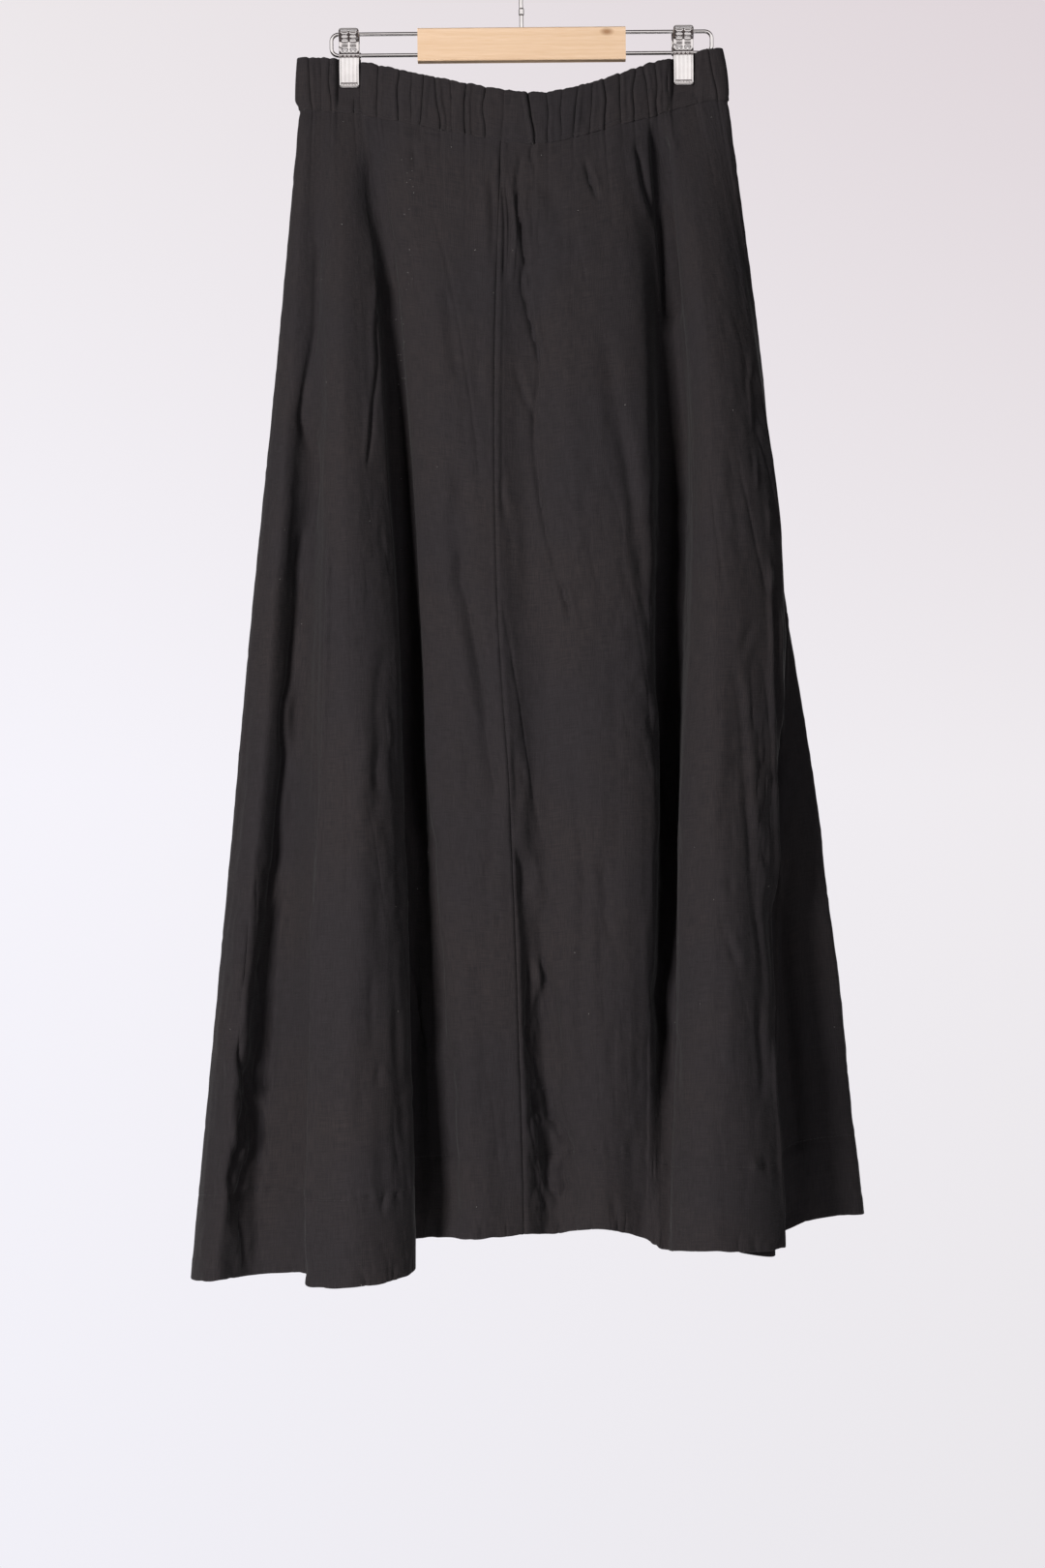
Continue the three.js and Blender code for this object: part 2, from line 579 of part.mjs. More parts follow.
// The inner face of a jaw from its finger tab down to its lip: distance out from the middle plane
// and height over the lower rail. It is dented where it clasps the rail.
const JAW_FACE = [
  { out: 8.4, up: 21.5 },
  { out: 6.2, up: 15.5 },
  { out: 3.6, up: 11 },
  { out: 3.5, up: 6 },
  { out: 3.3, up: 3 },
  { out: 1.9, up: 0.9 },
  { out: 1.9, up: -0.9 },
  { out: 3.1, up: -2.8 },
  { out: 3.9, up: -12 },
  { out: 2.7, up: -24.5 },
  { out: 2.7, up: -26.5 },
  { out: 4.2, up: -28.5 },
];
const RIB_FROM = 7;
const RIB_TO = 9;
const GRIP_ROWS = 4;
const GRIP_COLUMNS = 2;
const GRIP_WIDTH = 5.6;
const GRIP_SPACING = 7.4;
const GRIP_FROM = 0.2; // shares of a row that its raised part spans
const GRIP_TO = 0.7;

// A strip of a jaw: some of its face, between two distances from it, and a stretch of its width
function jawStrip(face, facing, near, far, centre, width) {
  const away = (i, distance) => {
    const before = face[Math.max(i - 1, 0)];
    const after = face[Math.min(i + 1, face.length - 1)];
    const along = new THREE.Vector2(after.out - before.out, after.up - before.up).normalize();
    return new THREE.Vector2(face[i].out - along.y * distance, face[i].up + along.x * distance);
  };
  const outline = face.map((_, i) => away(i, near));
  outline.push(...face.map((_, i) => away(i, far)).reverse());
  const section = new THREE.Shape(outline.map((point) => new THREE.Vector2(facing * point.x, point.y)));
  const strip = new THREE.ExtrudeGeometry(section, { depth: width, bevelEnabled: false });
  strip.rotateX(Math.PI / 2).rotateZ(Math.PI / 2);
  strip.translate(centre - width / 2, 0, 0);
  return strip;
}

function jaw(name, facing) {
  let body = solid(jawStrip(JAW_FACE, facing, 0, JAW_PLATE, 0, CLIP_WIDTH));
  const ribbed = JAW_FACE.slice(RIB_FROM, RIB_TO + 1);
  const raised = JAW_PLATE + RIB_HEIGHT;
  for (let i = 0; i < RIBS; i += 1) {
    const centre = ((i + 0.5) / RIBS - 0.5) * CLIP_WIDTH;
    body = body.add(solid(jawStrip(ribbed, facing, JAW_PLATE / 2, raised, centre, RIB_WIDTH)));
  }
  const [tabTop, tabFoot] = JAW_FACE;
  for (let row = 0; row < GRIP_ROWS; row += 1) {
    const share = (offset) => {
      const s = (row + offset) / GRIP_ROWS;
      return { out: mix(tabTop.out, tabFoot.out, s), up: mix(tabTop.up, tabFoot.up, s) };
    };
    const grip = [share(GRIP_FROM), share(GRIP_TO)];
    for (let column = 0; column < GRIP_COLUMNS; column += 1) {
      const centre = (column - 0.5) * GRIP_SPACING;
      body = body.add(solid(jawStrip(grip, facing, JAW_PLATE / 2, raised, centre, GRIP_WIDTH)));
    }
  }
  return piece(name, geometryOf(body), chrome());
}

function clip(name, x) {
  const group = new THREE.Group();
  group.position.set(x, 0, UPPER_RAIL_Z - RAIL_SPACING);
  const coil = new THREE.CylinderGeometry(SPRING_RADIUS, SPRING_RADIUS, SPRING_LENGTH, SPRING_SIDES);
  coil.rotateZ(Math.PI / 2).translate(0, 0, SPRING_RISE);
  group.add(jaw(`${name}_front_jaw`, -1));
  group.add(jaw(`${name}_back_jaw`, 1));
  group.add(piece(`${name}_spring`, coil, steel()));
  return group;
}

// The whole part
const hanger = new THREE.Group();
hanger.rotation.y = -HANGER_TILT;
hanger.add(hangerBar());
hanger.add(hangerHook());
hanger.add(clipRail("hanger_wire_left", -1));
hanger.add(clipRail("hanger_wire_right", 1));
hanger.add(clip("clip_left", CLIP_LEFT_X));
hanger.add(clip("clip_right", CLIP_RIGHT_X));

const skirt = new THREE.Group();
skirt.add(casing());
skirt.add(panel("front_left_panel", "left side", "front seam"));
skirt.add(panel("front_right_panel", "front seam", "right side"));
skirt.add(panel("back_right_panel", "right side", "back seam"));
skirt.add(panel("back_left_panel", "back seam", "left side"));

const part = new THREE.Group();
part.add(skirt);
part.add(hanger);

export default part;
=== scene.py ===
"""Maxi skirt of dark linen on a clip hanger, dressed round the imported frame.
Sizes are in millimetres and become metres when a mesh is made."""

import math

import bpy
import mathutils
import numpy as np
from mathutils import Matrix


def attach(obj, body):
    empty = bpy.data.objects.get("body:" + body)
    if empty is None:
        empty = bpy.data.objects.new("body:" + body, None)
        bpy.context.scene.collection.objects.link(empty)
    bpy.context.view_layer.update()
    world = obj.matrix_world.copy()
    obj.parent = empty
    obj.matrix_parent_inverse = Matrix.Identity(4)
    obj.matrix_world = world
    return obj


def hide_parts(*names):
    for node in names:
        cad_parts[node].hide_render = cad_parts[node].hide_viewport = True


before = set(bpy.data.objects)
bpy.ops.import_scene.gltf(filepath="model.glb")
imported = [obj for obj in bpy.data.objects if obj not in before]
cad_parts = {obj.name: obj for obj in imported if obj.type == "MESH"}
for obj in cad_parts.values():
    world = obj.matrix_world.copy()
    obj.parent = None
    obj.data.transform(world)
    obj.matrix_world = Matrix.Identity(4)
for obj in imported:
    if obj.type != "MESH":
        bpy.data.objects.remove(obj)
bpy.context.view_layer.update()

MM = 0.001
UP = np.array([0.0, 0.0, 1.0])

# Camera: level, looking along +Y from the height of the skirt's middle
CAMERA_X = 1.6
CAMERA_DISTANCE = 2600.0
CAMERA_Z = -721.6
LENS_MM = 70.5
FILM_MM = 36.0

camera_data = bpy.data.cameras.new("camera")
camera_data.lens = LENS_MM
camera_data.sensor_width = FILM_MM
camera = bpy.data.objects.new("camera", camera_data)
camera.location = (CAMERA_X * MM, -CAMERA_DISTANCE * MM, CAMERA_Z * MM)
camera.rotation_euler = (math.pi / 2, 0, 0)
bpy.context.scene.collection.objects.link(camera)
bpy.context.scene.camera = camera
bpy.context.scene.view_settings.view_transform = "Standard"

# Cloth
GAP = 0.3
LINEN = 0.9  # thickness of one layer, with its creases
HEM_LAYERS = 1.9  # thickness of the turned-up hem
CASING_WALL = 2.0  # doubled linen round the elastic
SKIRT_LENGTH = 950.0
HEM_DEPTH = 68.0
WAIST_LEFT = -190.0
WAIST_RIGHT = 175.5
WAIST_ROUND = 5.0
END_REACH = 24.0
LEFT_TOP_IN = 1.5
LEFT_SEAM_IN = 3.0
RIGHT_TOP_IN = 5.0

# Hanger
HANGER_TILT = math.radians(0.5)
CLIP_LEFT_X = -146.0
CLIP_RIGHT_X = 136.8
LOWER_RAIL_Z = -103.7
UPPER_RAIL_Z = -85.7

# Where the clips press the two layers of the waist together
PINCHED_DEPTH = 1.35
PINCH_FLAT = 9.3
PINCH_END = 13.0
JAW_SWING = 118 * math.sin(HANGER_TILT)
PINCHES = (CLIP_LEFT_X + JAW_SWING, CLIP_RIGHT_X + JAW_SWING)
PINCH_LOOSENS = 0.62
PINCH_AT_SEAM = 0.4

# The flat waist: x, z of the casing's top edge and of its seam, and how far each layer stands out
WAIST = np.array(
    [
        (-190, -108.2, -150.9, 5, 5),
        (-169, -108.9, -153.2, 5, 5),
        (-145, -110.2, -154.0, 6.5, 6),
        (-113, -117.5, -160.8, 9, 8),
        (-80, -125.0, -167.4, 12, 11),
        (-39, -133.8, -175.8, 15, 13),
        (8, -140.6, -182.1, 16, 14),
        (42, -136.3, -178.2, 15, 13),
        (77, -125.8, -167.0, 12, 11),
        (108, -114.4, -158.9, 8, 8),
        (137.8, -106.9, -148.7, 6, 6),
        (155.5, -102.4, -144.6, 6, 6),
        (175.5, -100.0, -142.7, 5, 5),
    ]
)
EDGE, SEAM, FRONT, BACK = 1, 2, 3, 4  # columns of WAIST

# The skirt's fold lines, round from the left side over the front and back again: x at the waist
# seam, then (x, y) at each of three levels, and (x, y, z) at the hem
LEVELS = np.array([0, 0.22, 0.43, 0.62, 1])
FOLDS = [
    (-190, (-206.5, 3), (-227.5, 5), (-244.5, 7), (-280, 13, -1141)),
    (-184, (-194, -20), (-208, -27), (-222, -31), (-255, -36, -1136)),
    (-172, (-174, -16), (-183, -12), (-196, -9), (-224, -4, -1136)),
    (-163, (-165, -24), (-169, -31), (-173, -32), (-179, -28, -1131)),
    (-157, (-161, -32), (-163, -45), (-166, -52), (-175, -60, -1136)),
    (-150, (-147, -38), (-143, -56), (-140, -68), (-139, -88, -1133)),
    (-143, (-130, -32), (-119, -46), (-112, -56), (-103.5, -74, -1129)),
    (-137, (-115, -20), (-103, -25), (-98, -30), (-88, -46, -1124)),
    (-133, (-110, -6), (-105, -5), (-104, -5), (-103, -10, -1114)),
    (-129, (-106, 0), (-101, 7), (-99, 12), (-97, 19, -1110)),
    (-125, (-100, 1), (-93, 7), (-90, 12), (-86, 19, -1108)),
    (-118, (-95, -8), (-84, -9), (-79, -9), (-67, -4, -1104)),
    (-80, (-67, -24), (-56, -29), (-48, -30), (-37, -30, -1102)),
    (-16.5, (-22, -28), (-19, -35), (-8, -35), (3.5, -22, -1099)),
    (6, (6, -22), (8, -27), (13, -24), (30, -2, -1101)),
    (40, (42, -32), (54, -38), (62, -37), (68, -26, -1094)),
    (85, (103, -22), (109, -25), (111, -25), (106, -16, -1104)),
    (108, (119, 14), (119, 20), (121, 22), (116, -22, -1110)),
    (115, (135, 16), (138, 25), (134, 26), (124, -24, -1112)),
    (124, (144, -24), (145, -32), (136, -38), (127, -40, -1110)),
    (134, (155, -34), (160, -51), (160, -61), (157, -70, -1106)),
    (146, (181, -26), (202, -38), (196, -49), (198, -60, -1108)),
    (155, (198, -9), (222, -14), (215, -24), (221, -34, -1108)),
    (159, (200, -4), (217, -2), (205, -6), (186, -8, -1116)),
    (162, (201, 0), (218, 4), (214, 5), (216, 12, -1122)),
    (165, (202, 4), (217, 10), (216, 18), (208, 34, -1116)),
    (170, (203, 8), (220, 16), (236, 24), (253.5, 44, -1096)),
    (175.5, (203, 13), (224, 22), (253, 33), (297, 56, -1093)),
    (172, (199, 22), (221, 35), (243, 50), (281, 86, -1094)),
    (150, (172, 30), (187, 48), (201, 65), (232, 104, -1097)),
    (120, (136, 20), (147, 30), (158, 40), (182, 66, -1102)),
    (92, (104, 30), (112, 46), (119, 62), (136, 98, -1104)),
    (62, (70, 22), (74, 30), (78, 37), (90, 58, -1106)),
    (28, (32, 30), (34, 44), (37, 57), (44, 88, -1107)),
    (-8, (-9, 26), (-9, 36), (-8, 46), (-4, 70, -1106)),
    (-42, (-46, 30), (-49, 45), (-51, 59), (-54, 90, -1108)),
    (-74, (-82, 20), (-86, 29), (-89, 37), (-98, 54, -1111)),
    (-108, (-122, 28), (-129, 43), (-134, 57), (-146, 86, -1116)),
    (-136, (-152, 16), (-162, 24), (-171, 31), (-190, 46, -1122)),
    (-164, (-182, 22), (-198, 34), (-211, 44), (-236, 66, -1130)),
    (-184, (-195, 14), (-212, 20), (-228, 26), (-262, 38, -1137)),
]
LEFT_SIDE, FRONT_SEAM, RIGHT_SIDE, BACK_SEAM = 0, 13, 27, 34  # places in FOLDS

# Gathers of the casing: x of each crease at the top edge and at the seam, its depth, and the side
# on which the cloth stands up beside it
FRONT_GATHERS = [
    (-179, -178, 0.9, 1),
    (-169, -169, 0.4, 1),
    (-162, -161, 0.6, -1),
    (-141, -140, 1.3, 1),
    (-132, -133, 0.8, -1),
    (-121, -120, 0.9, 1),
    (-103, -102, 0.9, -1),
    (-91, -93, 0.5, 1),
    (-80, -85, 1.1, 1),
    (-72, -68, 1.6, 1),
    (-58, -57, 0.4, -1),
    (-46, -45, 1.9, 1),
    (-31, -30, 0.9, -1),
    (-15, -17, 0.4, 1),
    (7, 11, 2.0, -1),
    (22, 23, 0.9, 1),
    (35, 34, 0.4, -1),
    (48, 45, 1.6, 1),
    (60, 59, 0.5, 1),
    (71, 71, 1.5, -1),
    (84, 84, 1.0, 1),
    (96, 97, 0.9, -1),
    (105, 108, 1.5, 1),
    (113, 117, 1.1, 1),
    (125, 124, 0.9, -1),
    (149, 150, 1.1, 1),
    (160, 166, 0.8, -1),
]
BACK_GATHERS = [
    (-181, -180, 0.8, -1),
    (-170, -172, 0.7, 1),
    (-158, -157, 1.0, -1),
    (-135, -136, 1.2, 1),
    (-124, -122, 0.9, -1),
    (-110, -112, 0.6, 1),
    (-98, -96, 1.5, 1),
    (-85, -86, 0.8, -1),
    (-66, -69, 1.7, 1),
    (-54, -53, 0.9, 1),
    (-38, -39, 0.5, -1),
    (-24, -21, 1.6, -1),
    (-9, -10, 0.8, 1),
    (4, 5, 1.3, 1),
    (19, 16, 0.7, -1),
    (33, 35, 1.8, 1),
    (51, 50, 0.6, -1),
    (63, 66, 1.2, 1),
    (79, 78, 1.5, -1),
    (90, 91, 0.7, 1),
    (102, 100, 1.1, -1),
    (116, 118, 0.9, 1),
    (124, 125, 0.7, 1),
    (150, 152, 1.0, -1),
    (163, 162, 0.8, 1),
]
GATHER_WIDTH = 1.15
PUFF = 0.42  # how far the cloth stands out between two creases, at most
PUFF_SPAN = 16.0  # the distance between creases at which it does so
EDGE_FULLNESS = 0.7
EDGE_RUFFLE = 0.6
CALM_BESIDE_CLIP = 4.0
CALM_END = 2.0
FREE_END = 9.0

# Creases as the front shows them, seen from the camera on the plane of the hanger: width, depth (a
# ridge where it is negative), the side on which the cloth stands up beside it, and the (x, z) path
CREASES = [
    # Upper part
    (3.5, 1.4, 1, [(-169, -256), (-172, -282), (-173, -326), (-177, -359), (-182, -384),
        (-184, -414), (-176, -442), (-181, -515)]),
    (3.0, 1.6, 1, [(-181, -500), (-186, -533), (-186, -566), (-191, -610), (-194, -636),
        (-199, -654), (-200, -680), (-198, -698), (-203, -742), (-204, -786), (-211, -830)]),
    (2.0, 0.9, -1, [(-116, -286), (-122, -335), (-121, -366), (-125, -405), (-127, -431),
        (-130, -460)]),
    (3.0, 0.8, 0, [(-108, -256), (-108, -275)]),
    (9, 1.6, 0, [(-126, -172), (-128, -216), (-125, -249), (-120, -271)]),
    (3.5, 1.0, 1, [(-91, -172), (-90, -194), (-98, -210)]),
    (5, 0.8, -1, [(-64, -291), (-58, -348), (-51, -392)]),
    (7, 0.9, 0, [(-41, -359), (-37, -398)]),
    (3.5, 0.9, -1, [(-26, -199), (-23, -249), (-25, -286)]),
    (2.2, 1.3, 1, [(-14, -203), (-9, -249), (-10, -278), (-14, -302)]),
    (2.0, 1.2, 1, [(12, -172), (9, -190), (12, -202)]),
    (2.4, 1.3, 1, [(5, -207), (-2, -227), (1, -249), (4, -278), (1, -295), (5, -315), (10, -339),
        (15, -359), (13, -372)]),
    (3.2, 1.1, 1, [(-7, -366), (0, -383), (4, -396), (12, -409), (17, -427)]),
    (2.6, 0.8, 1, [(14, -414), (16, -436), (16, -469), (22, -502)]),
    (7, 1.2, -1, [(-52, -442), (-50, -480), (-41, -515)]),
    (3.0, 0.8, 1, [(-17, -453), (-15, -480), (-11, -508)]),
    (2.4, 1.1, 1, [(53, -192), (58, -207), (68, -232)]),
    (3.0, 1.6, -1, [(97, -174), (101, -194), (105, -216), (112, -238), (118, -253)]),
    (4.5, 1.0, 0, [(114, -172), (120, -194), (123, -216), (123, -238), (124, -271)]),
    (2.6, 1.2, 1, [(126, -172), (124, -192)]),
    (7, 1.0, 1, [(83, -398), (87, -425), (94, -458), (98, -491), (105, -515)]),
    (7, 1.2, 1, [(100, -500), (105, -531), (112, -560), (117, -573)]),
    (8, 1.0, -1, [(16, -194), (28, -227), (35, -271)]),
    (1.8, -0.7, 0, [(196, -352), (194, -383), (196, -427)]),
    (1.8, -0.6, 0, [(200, -431), (199, -480)]),
    (1.8, -0.8, 0, [(209, -475), (210, -517)]),
    # Middle part
    (5.0, 1.1, -1, [(-53, -500), (-50, -522), (-53, -549), (-46, -568), (-42, -588), (-37, -610),
        (-33, -632), (-28, -658), (-26, -685)]),
    (3.0, 0.9, 0, [(-37, -550), (-42, -568)]),
    (4.5, 1.2, 1, [(-7, -683), (-4, -720), (-5, -773), (5, -797), (0, -830)]),
    (2.4, 0.8, 0, [(0, -704), (3, -724)]),
    (6, 0.8, 1, [(-74, -751), (-66, -812)]),
    (6, 0.9, 0, [(-24, -773), (-26, -806)]),
    (5, 0.8, -1, [(-116, -601), (-120, -636), (-121, -715), (-124, -764)]),
    (2.6, 1.2, 1, [(32, -543), (39, -566), (45, -589)]),
    (8, 1.1, 0, [(26, -500), (33, -542)]),
    (2.4, 0.6, 0, [(51, -522), (50, -539)]),
    (6, 1.6, 1, [(103, -643), (108, -658), (119, -704), (125, -742), (134, -781)]),
    (3.5, 0.9, 1, [(200, -578), (191, -599), (179, -622)]),
    (4, 0.8, 1, [(179, -622), (186, -654), (189, -698), (193, -753), (199, -843)]),
    (2.0, -1.2, 0, [(211, -527), (212, -623), (217, -775), (221, -830)]),
    (1.8, -1.0, 0, [(219, -566), (220, -623), (221, -698)]),
    (1.8, -0.8, 0, [(225, -573), (223, -654)]),
    (1.8, 1.0, 0, [(215, -544), (216, -623), (218, -676)]),
    (2.6, 0.5, 0, [(178, -751), (179, -773)]),
    (2.6, 0.5, 0, [(177, -799), (178, -817)]),
    (6, 0.9, 1, [(65, -773), (72, -803), (75, -843)]),
    (4, 0.9, 1, [(70, -820), (74, -841), (79, -864)]),
    # Lower part, with the crumpled strips at the left and the middle
    (4.5, 1.4, -1, [(-231, -820), (-234, -884), (-242, -932), (-238, -953), (-230, -979)]),
    (3.5, 1.3, 1, [(-204, -820), (-208, -884), (-211, -949), (-214, -996)]),
    (2.4, 1.2, 0, [(-215, -861), (-218, -893)]),
    (3.0, 1.8, 1, [(-232, -957), (-225, -987), (-218, -1009), (-218, -1030), (-221, -1044)]),
    (3.0, 1.8, -1, [(-233, -994), (-237, -1013), (-237, -1030), (-244, -1045), (-243, -1077),
        (-245, -1103)]),
    (2.6, 1.5, 1, [(-227, -1064), (-234, -1084), (-236, -1101), (-233, -1133)]),
    (6, -1.4, 0, [(-247, -1034), (-248, -1056)]),
    (5, -1.4, 0, [(-232, -1004), (-231, -1034), (-229, -1056)]),
    (6, -1.2, 0, [(-241, -966), (-242, -987)]),
    (1.8, -1.0, 0, [(-162, -513), (-163, -577), (-165, -654), (-168, -709), (-170, -786),
        (-171, -845)]),
    (2.4, -1.4, 0, [(-172, -820), (-173, -906), (-175, -970), (-176, -1034), (-178, -1077),
        (-179, -1105), (-177, -1142)]),
    (2.4, 1.2, 1, [(-113, -1062), (-115, -1073), (-119, -1088)]),
    (3.0, 0.8, 0, [(-128, -1067), (-129, -1075)]),
    (3.0, 0.8, 0, [(-103, -1062), (-105, -1077)]),
    (4, 0.6, 0, [(-125, -874), (-126, -910), (-124, -949)]),
    (3, 0.7, 1, [(-119, -957), (-121, -979)]),
    (4, 0.8, 0, [(-103, -895), (-104, -949), (-100, -992), (-98, -1034)]),
    (6, 0.7, 0, [(-134, -949), (-135, -1013), (-137, -1034)]),
    (7, 1.2, 1, [(-67, -841), (-68, -863), (-60, -927), (-56, -970), (-52, -1013)]),
    (3.5, 0.7, 0, [(-48, -841), (-44, -881)]),
    (2.4, 0.9, 0, [(-15, -832), (-22, -842)]),
    (7, 0.7, 0, [(-188, -833), (-191, -906), (-190, -970)]),
    (3, 0.7, 0, [(-211, -1056), (-215, -1075)]),
    (3, 0.6, 0, [(-203, -1062), (-204, -1075)]),
    (3.5, 0.7, 0, [(-250, -886), (-241, -889)]),
    (2.4, 1.4, 1, [(8, -863), (10, -891), (7, -927), (10, -954)]),
    (2.8, 1.4, -1, [(19, -862), (22, -901)]),
    (2.8, 1.7, -1, [(22, -968), (26, -1002), (37, -1025), (42, -1031), (35, -1045), (36, -1062),
        (44, -1082)]),
    (2.6, 1.5, 1, [(10, -1043), (15, -1062), (20, -1077), (22, -1091)]),
    (2.2, 1.2, 0, [(27, -1030), (24, -1053)]),
    (3.0, 1.0, 1, [(-2, -974), (9, -980), (19, -1011)]),
    (4, -1.2, 0, [(15, -869), (14, -914)]),
    (5, -1.4, 0, [(16, -992), (20, -1026)]),
    (4, -1.3, 0, [(31, -1043), (29, -1064), (33, -1086)]),
    (5, 1.4, 1, [(16, -820), (20, -874), (29, -916), (31, -970)]),
    (4, 1.2, 1, [(49, -1052), (46, -1077), (42, -1099)]),
    (2.6, 0.6, 0, [(80, -926), (81, -939)]),
    (3.2, 1.2, 1, [(76, -1067), (80, -1084), (78, -1097)]),
    (5, 0.9, 1, [(95, -1009), (94, -1079)]),
    (5, 0.8, 0, [(89, -998), (87, -1013)]),
    (5, 1.6, 1, [(115, -874), (119, -906), (128, -949), (126, -996)]),
    (2.6, 1.0, 1, [(170, -841), (181, -869), (186, -881)]),
    (4, 0.8, 1, [(200, -820), (206, -895), (203, -927), (205, -970), (200, -1002)]),
    (3.2, 1.1, 0, [(202, -1031), (206, -1043), (204, -1056)]),
    (3.4, -0.9, 0, [(196, -1037), (197, -1052)]),
    (8, 0.6, 0, [(158, -957), (183, -970), (194, -977)]),
    (1.8, -1.1, 0, [(219, -820), (218, -895), (215, -970), (218, -1002), (221, -1045),
        (224, -1097)]),
]


def smooth(value, low, high):
    s = np.clip((value - low) / (high - low), 0, 1)
    return s * s * (3 - 2 * s)


def mix(a, b, s):
    return a + (b - a) * s


def bell(distance, width):
    return np.exp(-((distance / width) ** 2))


def unit(vectors):
    return vectors / np.maximum(np.linalg.norm(vectors, axis=-1, keepdims=True), 1e-9)


def noise(u, v, seed):
    """Smooth noise from -1 to 1 over a plane, with one value at each whole number."""
    cells = 64
    lattice = np.random.default_rng(seed).uniform(-1, 1, (cells, cells))
    i, j = np.floor(u).astype(int), np.floor(v).astype(int)
    a, b = smooth(u - i, 0, 1), smooth(v - j, 0, 1)
    i, j, i2, j2 = i % cells, j % cells, (i + 1) % cells, (j + 1) % cells
    return mix(mix(lattice[i, j], lattice[i2, j], a), mix(lattice[i, j2], lattice[i2, j2], a), b)


def through(stations, values, at):
    """Smooth lines through values at given stations, read at other places."""
    values, at = np.asarray(values, float), np.asarray(at, float)
    last = len(stations) - 1
    low = np.maximum(np.arange(last + 1) - 1, 0)
    high = np.minimum(np.arange(last + 1) + 1, last)
    run = (stations[high] - stations[low]).reshape((-1,) + (1,) * (values.ndim - 1))
    slope = (values[high] - values[low]) / run
    i = np.clip(np.searchsorted(stations, at) - 1, 0, last - 1)
    wide = at.shape + (1,) * (values.ndim - 1)
    span = (stations[i + 1] - stations[i]).reshape(wide)
    s = np.clip((at - stations[i]).reshape(wide) / span, 0, 1)
    rise = values[i + 1] - values[i]
    start_bend = slope[i] * span - rise
    end_bend = rise - slope[i + 1] * span
    return values[i] + rise * s + s * (1 - s) * mix(start_bend, end_bend, s)


def curve_points(knots, places, closed):
    """Centripetal curves through each row of knots, read at places counted in knots."""
    count = knots.shape[1]
    i = np.floor(places).astype(int)
    if not closed:
        i = np.minimum(i, count - 2)
        first, last = 2 * knots[:, :1] - knots[:, 1:2], 2 * knots[:, -1:] - knots[:, -2:-1]
        knots = np.concatenate([knots, last, first], axis=1)
        count += 2
    t = (places - i)[None, :, None]
    p0, p1, p2, p3 = (knots[:, (i + step) % count] for step in (-1, 0, 1, 2))
    d0, d1, d2 = (
        np.maximum(np.sqrt(np.linalg.norm(b - a, axis=2, keepdims=True)), 1e-4)
        for a, b in ((p0, p1), (p1, p2), (p2, p3))
    )
    leave = ((p1 - p0) / d0 - (p2 - p0) / (d0 + d1) + (p2 - p1) / d1) * d1
    arrive = ((p2 - p1) / d1 - (p3 - p1) / (d1 + d2) + (p3 - p2) / d2) * d1
    rise = p2 - p1
    return p1 + leave * t + (3 * rise - 2 * leave - arrive) * t**2 + (leave + arrive - 2 * rise) * t**3


# Meshes
END_TURN = np.radians([80, 55, 28])  # how a tube's end rounds off


def mesh_object(name, points, quads, uv=None, smooth_shading=True, fans=()):
    """A mesh object from points in millimetres, faces of four corners and groups of larger ones."""
    mesh = bpy.data.meshes.new(name)
    mesh.vertices.add(len(points))
    mesh.vertices.foreach_set("co", (np.asarray(points) * MM).astype(np.float32).ravel())
    groups = [np.asarray(group, np.int32) for group in (quads, *fans)]
    corners = np.concatenate([group.ravel() for group in groups])
    sizes = np.concatenate([np.full(len(group), group.shape[1]) for group in groups])
    mesh.loops.add(corners.size)
    mesh.loops.foreach_set("vertex_index", corners)
    mesh.polygons.add(len(sizes))
    mesh.polygons.foreach_set("loop_start", (np.cumsum(sizes) - sizes).astype(np.int32))
    mesh.update(calc_edges=True)
    mesh.validate()
    mesh.polygons.foreach_set("use_smooth", np.full(len(mesh.polygons), smooth_shading))
    if uv is not None:
        layer = mesh.uv_layers.new(name="cloth")
        layer.data.foreach_set("uv", (uv[corners] * MM).astype(np.float32).ravel())
    piece = bpy.data.objects.new(name, mesh)
    bpy.context.scene.collection.objects.link(piece)
    return piece


def grid_quads(rows, columns, round_rows, round_columns, start=0):
    """Faces of a grid of points, with its rows going down and its columns to the right."""
    r = np.arange(rows if round_rows else rows - 1)[:, None]
    c = np.arange(columns if round_columns else columns - 1)[None, :]
    r2, c2 = (r + 1) % rows, (c + 1) % columns
    corners = [r * columns + c, r2 * columns + c, r2 * columns + c2, r * columns + c2]
    return np.stack([k + 0 * (r + c) for k in corners], axis=-1).reshape(-1, 4) + start


def joined(parts):
    """Points and faces of several (points, quads) parts as one."""
    points, quads, start = [], [], 0
    for part_points, part_quads in parts:
        points.append(np.asarray(part_points, float))
        quads.append(np.asarray(part_quads, int) + start)
        start += len(part_points)
    return np.concatenate(points), np.concatenate(quads)


